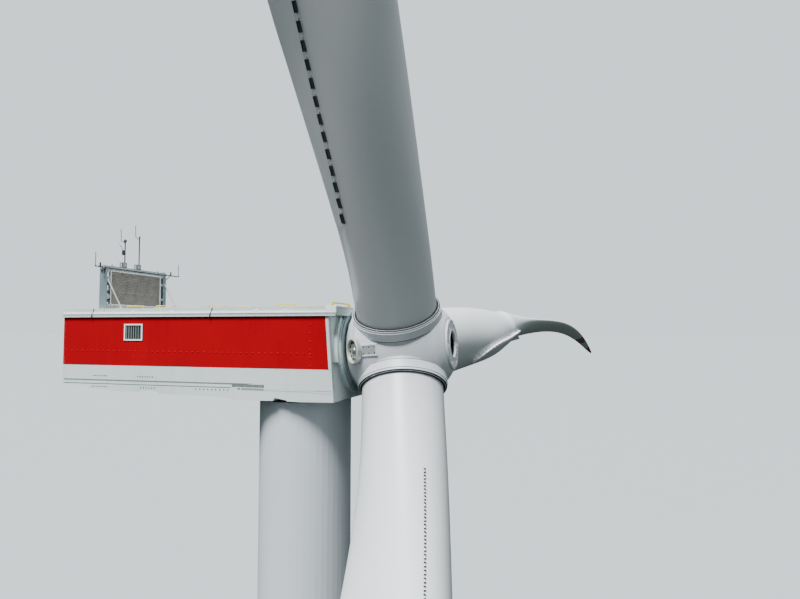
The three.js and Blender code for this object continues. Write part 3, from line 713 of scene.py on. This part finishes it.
def port_frame(number):
    """Stands a form turned about Z on the sloping shoulder between two blades."""
    shoulder = rotor_frame @ Matrix.Rotation(math.radians(azimuth[number] + port_azimuth), 4, "X")
    return (shoulder @ Matrix.Translation((-0.1295, 0.1945, 0)) @ Matrix.Rotation(port_lean, 4, "Z")
            @ Matrix.Rotation(math.radians(-90), 4, "X"))


vertices, faces = plug(seat_radius, seat_floor, seat_top)
cutters = [(placed(vertices, along_axis), faces)]
for number in (1, 2, 3):
    vertices, faces = plug(port_radius, port_floor, port_top)
    cutters.append((placed(vertices, port_frame(number)), faces))
carved(casting, cutters)
dress(casting, hub_paint, "rotor", smooth=True)
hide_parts("hub", "hub_nose")
print("hub casting faces after cutting:", len(casting.data.polygons))

# %% [markdown]
# ## Rings on the hub
# Between a neck of the hub and its blade lie the pitch bearing's rings: a machined white band, a
# rubber lip, a bright ring, a second lip, and the studs that hold the blade. All are turned forms,
# so each is a short profile spun round the blade's axis, and the studs are the bolt tree on a ring.

# %% Flange rings
def turned_piece(name, profile, matrix, material, body, segments=96):
    """A closed profile spun about a frame's Z axis."""
    vertices, faces = spun(profile, segments)
    return piece(name, placed(vertices, matrix), faces, material, body, smooth=True)


def ring_profile(inner, outer, low, high, edge=0.0006):
    """A ring's section with its two upper corners broken."""
    return [(inner, low), (outer, low), (outer, high - edge), (outer - edge, high), (inner + edge, high),
            (inner, high - edge)]


# Each ring's finish, inner and outer radius, lower and upper level, and broken edge.
flange_rings = {
    "flange_band": (hub_paint, 0.1500, 0.1716, 0.1360, 0.1676, 0.0008),
    # A grey-black ring under the band: painted shade below the band's lower edge.
    "band_shadow_ring": (seal_rubber, 0.1500, 0.1706, 0.1330, 0.1361, 0.0003),
    "bearing_edge": (hub_paint, 0.1672, 0.1697, 0.1690, 0.1754, 0.0006),
    # The two lips are near-black: painted shade of the deep gaps round them.
    "outer_lip": (black_rubber_and_painted_shade, 0.1640, 0.1671, 0.1738, 0.1774, 0.0004),
    "bright_ring": (hub_paint, 0.1612, 0.1639, 0.1738, 0.1794, 0.0005),
    "inner_lip": (black_rubber_and_painted_shade, 0.1552, 0.1609, 0.1690, 0.1812, 0.0005),
}
stud_circle, stud_seat, stud_count = 0.1626, 0.1793, 96
for number in (1, 2, 3):
    upright = span_up(number)
    for name, (material, *sizes) in flange_rings.items():
        # The inner lip sits on the blade's own ring, so it turns when the blade pitches.
        body = f"blade_{number}" if name == "inner_lip" else "rotor"
        turned_piece(f"{name}_{number}", ring_profile(*sizes), upright, material, body)
    studs = ring_places(upright, stud_circle, stud_seat, stud_count)
    repeated(f"blade_studs_{number}", studs, bolt_tree, {"Radius": 0.0010, "Height": 0.0014}, bolt_zinc,
             "rotor")

# %% [markdown]
# ## Ports, plate and manhole
# The sloping shoulder between two blades carries a round port whose cover is off: a yellow-white
# rim, a bolted flange and a bright boss. Beside one of them sits a small bare plate in a raised
# frame. The manhole in the nose shows its thick edge, its bolt ring, six round holes and the dark
# inside. Ports and manhole are turned forms again, and the plate is a stack of rectangles.

# %% Service ports
port_cream = finish("primed_steel_rim", "d9d6b4", "a8a37c", 0.4, 0.42, 30, 2)
port_rim = ring_profile(0.0418, 0.0470, 0.0046, 0.0076, 0.0010)
port_step = ring_profile(0.0200, 0.0270, -0.0042, -0.0010, 0.0008)
port_boss = [(0.0002, -0.0042), (0.0150, -0.0042), (0.0150, -0.0005), (0.0125, 0.0030),
             (0.0080, 0.0052), (0.0002, 0.0060)]
for number in (1, 2, 3):
    upright = port_frame(number)
    turned_piece(f"port_rim_{number}", port_rim, upright, port_cream, "rotor", 64)
    turned_piece(f"port_step_{number}", port_step, upright, galvanised_steel, "rotor", 48)
    turned_piece(f"port_boss_{number}", port_boss, upright, bolt_zinc, "rotor", 40)
    repeated(f"port_bolts_{number}", ring_places(upright, 0.0335, -0.0040, 12), bolt_tree,
             {"Radius": 0.0030, "Height": 0.0042}, dark_steel, "rotor")

# %% Bare plate
plate_length, plate_width, plate_rise, plate_border = 0.063, 0.044, 0.0042, 0.0055
field_half_length, field_half_width = 0.0255, 0.0160
field_low, field_high = plate_rise - 0.0030, plate_rise - 0.0012
plate_place = (rotor_frame @ Matrix.Rotation(math.radians(90), 4, "X")
               @ Matrix.Translation((-0.063, 0.0, 0.2088)))


def rectangle(inset, z):
    """The plate's outline at a height, drawn in by an inset."""
    a, b = plate_length / 2 - inset, plate_width / 2 - inset
    return [(-a, -b, z), (a, -b, z), (a, b, z), (-a, b, z)]


levels = [rectangle(0, -0.004), rectangle(0, plate_rise - 0.0006), rectangle(0.0006, plate_rise),
          rectangle(plate_border, plate_rise), rectangle(plate_border + 0.0004, plate_rise - 0.0016)]
vertices = [point for outline in levels for point in outline]
piece("bare_plate", placed(vertices, plate_place), sleeve_faces(len(levels), 4), hub_paint, "rotor")
vertices, faces = box_shape((-field_half_length, field_half_length), (-field_half_width, field_half_width),
                            (field_low, field_high))
piece("plate_field", placed(vertices, plate_place), faces, galvanised_steel, "rotor")
screws = [((x, y, field_high), (0, 0, 1), (1, 0, 0))
          for x in (-0.021, 0.0, 0.021) for y in (-0.0115, 0.0115)]
repeated("plate_screws", moved(screws, plate_place), bolt_tree, {"Radius": 0.0017, "Height": 0.0014},
         dark_steel, "rotor")

# %% Manhole
plate_profile = [(0.0503, 0.1285), (0.0960, 0.1285), (0.0960, 0.2050), (0.0950, 0.2060), (0.0563, 0.2060),
                 (0.0560, 0.2072), (0.0510, 0.2072), (0.0503, 0.2065)]
hole_radius, hole_circle, hole_floor = 0.009, 0.075, 0.199
vertices, faces = spun(plate_profile)
plate = joined("nose_plate_ring", [(placed(vertices, along_axis), faces)])
vertices, faces = plug(hole_radius, hole_floor, 0.23, 32)
holes = []
for k in range(6):
    angle = math.radians(30 + 60 * k)
    spot = (hole_circle * math.cos(angle), hole_circle * math.sin(angle), 0)
    holes.append((placed(vertices, along_axis @ Matrix.Translation(spot)), faces))
carved(plate, holes)
dress(plate, hub_paint, "rotor", smooth=True)
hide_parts("nose_plate")
# The floor, step and liner are near-black and grey-black: painted shade of the manhole's inside.
manhole_rings = {
    "manhole_floor": (black_rubber_and_painted_shade, 0.0002, 0.0500, 0.1285, 0.1310),
    "manhole_step": (seal_rubber, 0.0440, 0.0502, 0.1310, 0.1600),
    "manhole_liner": (black_rubber_and_painted_shade, 0.0490, 0.0502, 0.1595, 0.1985),
}
for name, (material, *sizes) in manhole_rings.items():
    turned_piece(name, ring_profile(*sizes), along_axis, material, "rotor", 48)
repeated("nose_plate_bolts", ring_places(along_axis, 0.0880, 0.2058, 36), bolt_tree,
         {"Radius": 0.0020, "Height": 0.0022}, bolt_zinc, "rotor")

# %% [markdown]
# ## Fittings of the blades
# Near the root each blade has air-flow fittings glued to its skin. On the pressure side a line of
# short fins runs beside a flat panel that reaches to the trailing edge. On the suction side is one
# row of small vanes set alternately, and on the third blade a thick white toothed strip instead.
# They follow the skin, so the skin's own rule gives every point and its directions.

# %% Fins, panel and vanes
fin_gap, vane_gap = 0.055, 0.0112
fins_from, fins_to = 0.595, strip_start - 0.04
vanes_from, vanes_to = 0.53, 2.45
panel_from, panel_gap, panel_rise, panel_sink = 0.56, 0.03, 0.0014, 0.0006
panel_edge = 0.992


def fin_share(at):
    """Where the line of fins runs, as a share of the chord from the leading edge."""
    return 0.70 + 0.105 * math.exp(-(at - 0.65) / 0.3)


def vane_share(at):
    """Where the row of vanes runs, as a share of the chord from the leading edge."""
    return min(0.11 + 0.12 * (at - 0.55), 0.20)


fins, knobs, vanes, panel = [], [], [], []
for at in np.arange(fins_from, fins_to, fin_gap):
    here, outward, aft, span = on_blade(at, fin_share(at), 1)
    fins += [(here + aft * side, outward, span) for side in (-0.0045, 0.0045)]
    knobs.append((here + span * fin_gap * 0.39, outward, span))
for index, at in enumerate(np.arange(vanes_from, vanes_to, vane_gap)):
    here, outward, aft, span = on_blade(at, vane_share(at), -1)
    lean = 0.30 if index % 2 else -0.30
    vanes.append((here, outward, (aft + span * lean).normalized()))
panel_stations = np.arange(panel_from, strip_start, panel_gap)
for at in panel_stations:
    cut = [on_blade(at, share, 1)[:2] for share in np.linspace(fin_share(at) + 0.03, panel_edge, 7)]
    panel += [here + outward * panel_rise for here, outward in cut]
    panel += [here - outward * panel_sink for here, outward in reversed(cut)]
panel_faces = sleeve_faces(len(panel_stations), 2 * len(cut))

# The fins are grey-black as painted shade: the real brackets show as dark shadows.
for number in (1, 2, 3):
    matrix, body = blade_frame(number), f"blade_{number}"
    repeated(f"root_fins_painted_shade_{number}", moved(fins, matrix), block_tree,
             {"Length": 0.033, "Width": 0.0022, "Height": 0.0085}, seal_rubber, body)
    repeated(f"fin_feet_{number}", moved(knobs, matrix), block_tree,
             {"Length": 0.006, "Width": 0.006, "Height": 0.006}, blade_gelcoat, body)
    piece(f"root_panel_{number}", placed(panel, matrix), panel_faces, blade_gelcoat, body, smooth=True)
# The vanes are dark steel as painted shade of the gaps beside them.
for number in (1, 2):
    repeated(f"suction_vanes_painted_shade_{number}", moved(vanes, blade_frame(number)), block_tree,
             {"Length": 0.008, "Width": 0.0026, "Height": 0.004}, dark_steel, f"blade_{number}")
print("fins per blade:", len(fins) // 2)

# %% White strip of the third blade
# The third blade carries a thick white strip with a toothed edge where the others have their vanes.
ledge_from, ledge_to, ledge_half, ledge_rise, ledge_sink = 0.585, 1.64, 0.0070, 0.0120, 0.003
ledge_profile = [(-ledge_half, -ledge_sink), (-ledge_half, ledge_rise), (ledge_half, ledge_rise),
                 (ledge_half, -ledge_sink)]


def ledge_share(at):
    """Where the white strip runs, as a share of the chord from the leading edge."""
    return 0.095 + 0.15 * math.exp(-(at - 0.60) / 0.22)


ledge, teeth = [], []
ledge_stations = np.linspace(ledge_from, ledge_to, 60)
for at in ledge_stations:
    here, outward, aft, span = on_blade(at, ledge_share(at), -1)
    ledge += [here + aft * wide + outward * high for wide, high in ledge_profile]
for at in np.arange(ledge_from + fin_gap / 2, ledge_to, fin_gap):
    here, outward, aft, span = on_blade(at, ledge_share(at), -1)
    teeth.append((here - aft * ledge_half, outward, span))
# The strip's bright white is partly painted light, standing in for the sky light that it catches.
piece("white_strip_3", placed(ledge, blade_frame(3)), sleeve_faces(len(ledge_stations), len(ledge_profile)),
      white_bead_and_painted_light, "blade_3")
repeated("white_strip_teeth_3", moved(teeth, blade_frame(3)), block_tree,
         {"Length": 0.030, "Width": 0.008, "Height": 0.0145}, white_bead_and_painted_light, "blade_3")

# %% [markdown]
# ## The housing's seams and fasteners
# The housing is bolted together from laminate panels. Rivets run along the red band, dark grooves
# and slot rows drain the lower sill, and short bolt rows mark the panel joints. All lie in the
# plane of the side, so rows of points with the side's own facing are enough.

# %% Side rows
sides = (("left", -1), ("right", 1))
half_width, band_low, band_high = 0.2154, 1.872, 2.072
eye_level = 2.015
# Each kind's tree, sizes, finish and rows. A row is its start and its end, each as a distance along
# the housing and a height from the camera's eye level, and the gap between its copies.
side_rows = {
    "band_rivets": (rivet_tree, {"Radius": 0.0026, "Height": 0.0016}, rivet_red_painted_highlight,
                    [(-1.024, -0.0826, 0.119, -0.085, 0.027), (0.1155, 0.023, 0.117, -0.131, 0.030),
                     (0.1155, -0.090, 0.117, -0.098, 0.008)]),
    # The slits and holes are flat dark bars on the skin: painted shade of the openings.
    "drain_slits": (block_tree, {"Length": 0.0036, "Width": 0.0110, "Height": 0.0004}, dark_steel,
                    [(-0.213, -0.2118, -0.077, -0.2118, 0.005)]),
    "drain_holes": (block_tree, {"Length": 0.0042, "Width": 0.0065, "Height": 0.0004}, dark_steel,
                    [(-0.188, -0.224, -0.182, -0.224, 0.006), (-0.170, -0.224, -0.080, -0.224, 0.0075)]),
    "sill_bolts": (bolt_tree, {"Radius": 0.0017, "Height": 0.0016}, dark_steel,
                   [(-0.378, -0.230, -0.233, -0.230, 0.018), (-0.881, -0.187, -0.812, -0.187, 0.012),
                    (-0.656, -0.187, -0.585, -0.187, 0.012), (-0.884, -0.232, -0.810, -0.232, 0.012),
                    (-0.640, -0.232, -0.574, -0.232, 0.012)]),
    "sill_rivets": (rivet_tree, {"Radius": 0.0010, "Height": 0.0008}, galvanised_steel,
                    [(-0.049, -0.230, 0.126, -0.230, 0.009)]),
}
for label, sign in sides:
    side_y = sign * half_width
    for name, (tree, sizes, material, rows) in side_rows.items():
        places = []
        for x0, level0, x1, level1, gap in rows:
            places += row((x0, side_y, eye_level + level0), (x1, side_y, eye_level + level1), gap,
                          (0, sign, 0))
        repeated(f"{name}_{label}", places, tree, sizes, material, "nacelle")


# %% Seams and grooves
def seam(name, stretches, facing, width, material, height):
    """Thin straight strips of the housing in one piece, each from a start point to an end point."""
    face, sink, parts = Vector(facing), 0.0004, []
    for start, end in stretches:
        start, end = Vector(start), Vector(end)
        middle, lying, half = (start + end) / 2, (end - start).normalized(), (end - start).length / 2
        across = face.cross(lying)
        vertices, faces = box_shape((-half, half), (-width / 2, width / 2), (-sink, height))
        parts.append(([middle + lying * x + across * y + face * z for x, y, z in vertices], faces))
    return dress(joined(name, parts), material, "nacelle")


def side_seam(name, side, lines, out, width, material, height):
    """A seam on one side of the housing, at a distance out from the middle. Each line is its start
    and its end, each as a distance along the housing and a height."""
    label, sign = side
    stretches = [((x0, sign * out, z0), (x1, sign * out, z1)) for x0, z0, x1, z1 in lines]
    return seam(f"{name}_{label}", stretches, (0, sign, 0), width, material, height)


# The groove shadows and the band shadow are grey-black strips of painted shade in the grooves and under the
# red band.
groove_out = half_width - 0.0026
# Each kind's distance out, width, finish, height and lines.
side_lines = {
    "groove_shadow": (groove_out, 0.0018, seal_rubber, 0.0016,
                      [(-1.035, 1.811, -0.123, 1.811), (-1.029, 1.794, -0.220, 1.794)]),
    "groove_lip": (half_width, 0.0022, cooler_sheet, 0.0006,
                   [(-1.035, 1.8088, -0.145, 1.8088), (-1.029, 1.7952, -0.220, 1.7952)]),
    "groove_cover": (groove_out, 0.0018, housing_gelcoat, 0.0026,
                     [(-0.123, 1.811, 0.2075, 1.811), (-0.220, 1.794, 0.209, 1.794)]),
    "panel_joints": (half_width, 0.0008, cooler_sheet, 0.0004,
                     [(-0.814, 1.833, -0.807, 1.795), (-0.568, 1.833, -0.559, 1.795),
                      (0.126, 1.791, 0.207, 1.791), (0.126, 1.7825, 0.207, 1.7825),
                      (-0.180, 1.7875, 0.126, 1.7875)]),
    "band_shadow": (half_width, 0.0012, seal_rubber, 0.0002, [(-1.036, band_low, 0.203, band_low)]),
}
for side in sides:
    for name, (out, width, material, height, lines) in side_lines.items():
        side_seam(name, side, lines, out, width, material, height)
print("seams per side:", len(side_lines))

# %% Louvre frames
rim = 0.0052
for label, sign in sides:
    low, high = (Vector(corner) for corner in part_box(f"side_louvre_{label}"))
    plane = low.y if sign < 0 else high.y
    bars = [((low.x, plane, z), (high.x, plane, z)) for z in (low.z + rim / 2, high.z - rim / 2)]
    bars += [((x, plane, low.z + rim), (x, plane, high.z - rim))
             for x in (low.x + rim / 2, high.x - rim / 2)]
    seam(f"louvre_frame_{label}", bars, (0, sign, 0), rim, white_bead_and_painted_light, 0.0010)
print("louvre frame bars:", len(bars))

# %% [markdown]
# ## The roof's edge
# The roof caps hang over the sides like a lid. Their lower lip is a white moulded bead, their
# joints are slanted and sealed with black rubber, and lifting lugs sit on the bead between them.
# Each is a straight strip or a small cast block, so boxes with broken edges are enough.

# %% Blocks with broken edges
def blocks(name, corners, edge, material):
    """Blocks of the housing between opposite corners, each edge broken by a small flat, in one piece."""
    made = joined(name, [box_shape(*(sorted(pair) for pair in zip(one, other))) for one, other in corners])
    bevel = made.modifiers.new("edges", "BEVEL")
    bevel.width = edge
    bevel.segments = 2
    return dress(baked(made), material, "nacelle")


def side_blocks(name, side, corners, edge, material):
    """Blocks on one side of the housing, from the corners that they have on the right side."""
    label, sign = side
    mirrored = [[(x, sign * y, z) for x, y, z in pair] for pair in corners]
    return blocks(f"{name}_{label}", mirrored, edge, material)


# %% Bead, joints and lugs
roof_top, lip_low, lip_high = 2.109, 2.079, 2.088
roof_rear, roof_front = -1.045, 0.225
fascia_y, lip_y, bead_y = 0.2184, 0.2224, 0.2240
joint_low, joint_high, seam_low = lip_high + 0.0030, roof_top - 0.0012, lip_high + 0.0020
bead = [((roof_rear + 0.001, fascia_y, lip_high - 0.0045), (roof_front, bead_y, lip_high + 0.0028))]
skirt = [((roof_rear + 0.002, 0.2164, band_high + 0.0006), (roof_front - 0.004, 0.2220, lip_low))]
slanted = [(-0.8838, joint_high, -0.8865, joint_low), (-0.3065, joint_high, -0.3110, joint_low)]
across_lip = [(-0.8865, joint_low, -0.8915, band_high + 0.0008),
              (-0.3110, joint_low, -0.3165, band_high + 0.0008)]
light = [(x, joint_high, x, seam_low) for x in (-0.830, -0.689, -0.505, -0.1205, 0.0117)]
lugs = [((x - 0.007, fascia_y, seam_low), (x + 0.007, bead_y, lip_high + 0.0090))
        for x in (-0.683, -0.500, -0.112, 0.016)]
end_block = [((roof_front - 0.044, 0.2165, lip_high + 0.0034),
              (roof_front - 0.001, 0.2225, roof_top + 0.0006))]
rear_edge = [(-1.0390, band_low + 0.001, -1.0390, band_high - 0.001)]
for side in sides:
    side_blocks("roof_bead", side, bead, 0.0014, white_bead_and_painted_light)
    side_blocks("roof_skirt", side, skirt, 0.0004, housing_gelcoat)
    side_seam("roof_joint_rubber", side, slanted, fascia_y, 0.0042, black_rubber_and_painted_shade, 0.0008)
    side_seam("lip_joint_rubber", side, across_lip, lip_y, 0.0042, black_rubber_and_painted_shade, 0.0018)
    side_seam("roof_seams", side, light, fascia_y, 0.0012, cooler_sheet, 0.0003)
    side_blocks("roof_lugs", side, lugs, 0.0015, white_bead_and_painted_light)
    side_blocks("roof_end_block", side, end_block, 0.0012, white_bead_and_painted_light)
    side_seam("band_rear_edge", side, rear_edge, half_width, 0.0056, red_gelcoat, 0.0004)

# The rear end of the roof is closed by a plain skirt that hangs down to the red band.
blocks("roof_rear_skirt", [((roof_rear + 0.0010, -0.2150, band_high + 0.0006),
                            (roof_rear + 0.0060, 0.2150, roof_top - 0.0060))], 0.0006, housing_gelcoat)
# A yellow rail lies across the roof, on a foot at each end, between the front hatch and the hub.
rail_x, rail_half, rail_low = 0.152, 0.090, 2.125
rail = [((rail_x - 0.003, -rail_half, rail_low), (rail_x + 0.003, rail_half, rail_low + 0.006))]
rail += [((rail_x - 0.004, sign * rail_half - 0.006, roof_top - 0.0010),
          (rail_x + 0.004, sign * rail_half + 0.006, rail_low + 0.0005)) for sign in (-1, 1)]
blocks("roof_cross_rail", rail, 0.0008, yellow_paint)
print("lugs per side:", len(lugs), "light seams per side:", len(light))

# %% Front fascia
# The lower strip is grey-black: partly a joint, partly painted shade in the gap under the fascia.
for name, half, level, width, material in (
        ("fascia_joint_shadow", 0.214, band_high + 0.0016, 0.0024, seal_rubber),
        ("fascia_upper_joint", 0.213, roof_top - 0.0075, 0.0010, cooler_sheet)):
    seam(name, [((roof_front, -half, level), (roof_front, half, level))], (1, 0, 0), width, material, 0.0003)
    print(name, "at height:", round(level, 4))


# %% Front face lines
def front_place(y, z):
    """A point just off the leaning front face, at a distance from the middle and a height."""
    ahead = hub_centre.x - 0.214 / math.cos(tilt) - (z - hub_centre.z) * math.tan(tilt)
    return Vector((ahead + 0.0003, y, z))


front_facing = (math.cos(tilt), 0, math.sin(tilt))
uprights = [(front_place(sign * y, foot), front_place(sign * y, 2.070))
            for sign in (-1, 1) for y, foot in ((0.2085, 1.800), (0.1990, 1.795))]
seam("front_face_joints", uprights, front_facing, 0.0011, cooler_sheet, 0.0003)
feet = [(front_place(sign * 0.176, 1.8965), front_place(sign * 0.2020, 1.8965)) for sign in (-1, 1)]
seam("fairing_ledges", feet, front_facing, 0.0020, seal_rubber, 0.0140)
print("front lines:", len(uprights) + len(feet))

# %% [markdown]
# ## The cooler's skin
# The radiator is a block of thin aluminium fins behind a bright frame. The fins are too fine for
# the picture at their real spacing of 2 mm on this scale, so they are drawn 7 mm apart. A row of
# small clips runs across them, and plain boxes hang behind the holes of the side strips. The beam
# on top has a dark strip of painted shadow and three knobs, and each mast has a small box with thin panels.

# %% Radiator
ahead, behind, across, upwards = (1, 0, 0), (-1, 0, 0), (0, 1, 0), (0, 0, 1)
core_low, core_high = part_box("cooler_core")
slat_gap, clip_gap, clip_share = 0.007, 0.030, 0.38
slats = []
level = core_low[2] + 0.005
while level < core_high[2] - 0.002:
    slats += [((core_high[0], 0, level), ahead, across), ((core_low[0], 0, level), behind, across)]
    level += slat_gap
width = core_high[1] - core_low[1]
repeated("radiator_fins", slats, block_tree, {"Length": width - 0.004, "Width": 0.0024, "Height": 0.0022},
         cooler_fins, "nacelle")
border = finish("bright_aluminium_border", "eceff0", "c3c8c9", 0.2, 0.4, 60, 4)
edge, clear = 0.0045, 0.0003
half, low_z, high_z = core_high[1] + clear, core_low[2] - clear, core_high[2] + clear
for label, facing in (("front", ahead), ("rear", behind)):
    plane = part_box("cooler_frame")[1][0] if label == "front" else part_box("cooler_frame")[0][0]
    bars = [((plane, y, low_z - edge), (plane, y, high_z + edge))
            for y in (-half - edge / 2, half + edge / 2)]
    bars += [((plane, -half, z), (plane, half, z)) for z in (low_z - edge / 2, high_z + edge / 2)]
    seam(f"radiator_border_{label}", bars, facing, edge, border, 0.0030)
clip_level = core_low[2] + clip_share * (core_high[2] - core_low[2])
clips = [((core_high[0] + 0.0012, y, clip_level), ahead, across)
         for y in np.arange(core_low[1] + 0.02, core_high[1] - 0.01, clip_gap)]
repeated("radiator_clips", clips, block_tree, {"Length": 0.014, "Width": 0.0014, "Height": 0.0012},
         galvanised_steel, "nacelle")

# %% Boxes in the side strips
cooler_at = -0.856
box_levels = {1: ((0.024, 0.052), (0.063, 0.120), (0.132, 0.160)),
              -1: ((0.030, 0.044), (0.066, 0.080), (0.102, 0.118))}
boxes = [((cooler_at - 0.006, sign * 0.1660, roof_top + low),
          (cooler_at + 0.0047, sign * 0.1855, roof_top + high))
         for sign, levels in box_levels.items() for low, high in levels]
blocks("cooler_strip_boxes", boxes, 0.0015, dark_steel)
beam_low, beam_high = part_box("cooler_top_beam")
# A dark strip low on the beam's front face: painted shadow.
shadow = [(beam_high[0], y, beam_low[2] + 0.003) for y in (beam_low[1] + 0.002, beam_high[1] - 0.002)]
seam("beam_shadow", [shadow], ahead, 0.0045, dark_steel, 0.0003)
knobs = [((cooler_at, y, beam_high[2]), upwards, ahead) for y in (0.148, 0.192, -0.150)]
repeated("beam_knobs", knobs, bolt_tree, {"Radius": 0.0036, "Height": 0.0080}, galvanised_steel, "nacelle")

# %% Sensors on the masts
mast_foot = beam_high[2] + 0.0003
low_z, high_z = mast_foot + 0.003, mast_foot + 0.019
panels = []
for y in (-0.074, 0.018):
    low_y, high_y = y - 0.022, y + 0.005
    # Each mast's box has a lid in front, a plate on its side and a cap on top.
    panels += [((cooler_at + 0.0075, low_y + 0.003, low_z), (cooler_at + 0.0088, high_y - 0.003, high_z)),
               ((cooler_at - 0.005, low_y - 0.0008, low_z), (cooler_at + 0.005, low_y + 0.0005, high_z)),
               ((cooler_at - 0.005, low_y + 0.003, mast_foot + 0.0215),
                (cooler_at + 0.005, high_y - 0.003, mast_foot + 0.0228))]
blocks("mast_box_panels", panels, 0.0004, galvanised_steel)
sensor = [((cooler_at - 0.005, -0.0885, 2.3515), (cooler_at + 0.005, -0.0770, 2.3730)),
          ((cooler_at - 0.003, -0.0780, 2.3560), (cooler_at + 0.003, -0.0720, 2.3620))]
blocks("mast_sensor", sensor, 0.0012, dark_steel)
arms = [((cooler_at, -0.0840, 2.3720), (cooler_at, -0.1140, 2.3990)),
        ((cooler_at, -0.0900, 2.3740), (cooler_at, -0.1020, 2.3950))]
seam("mast_sensor_arms", arms, ahead, 0.0012, galvanised_steel, 0.0012)
print("mast panels:", len(panels), "sensor arms:", len(arms))
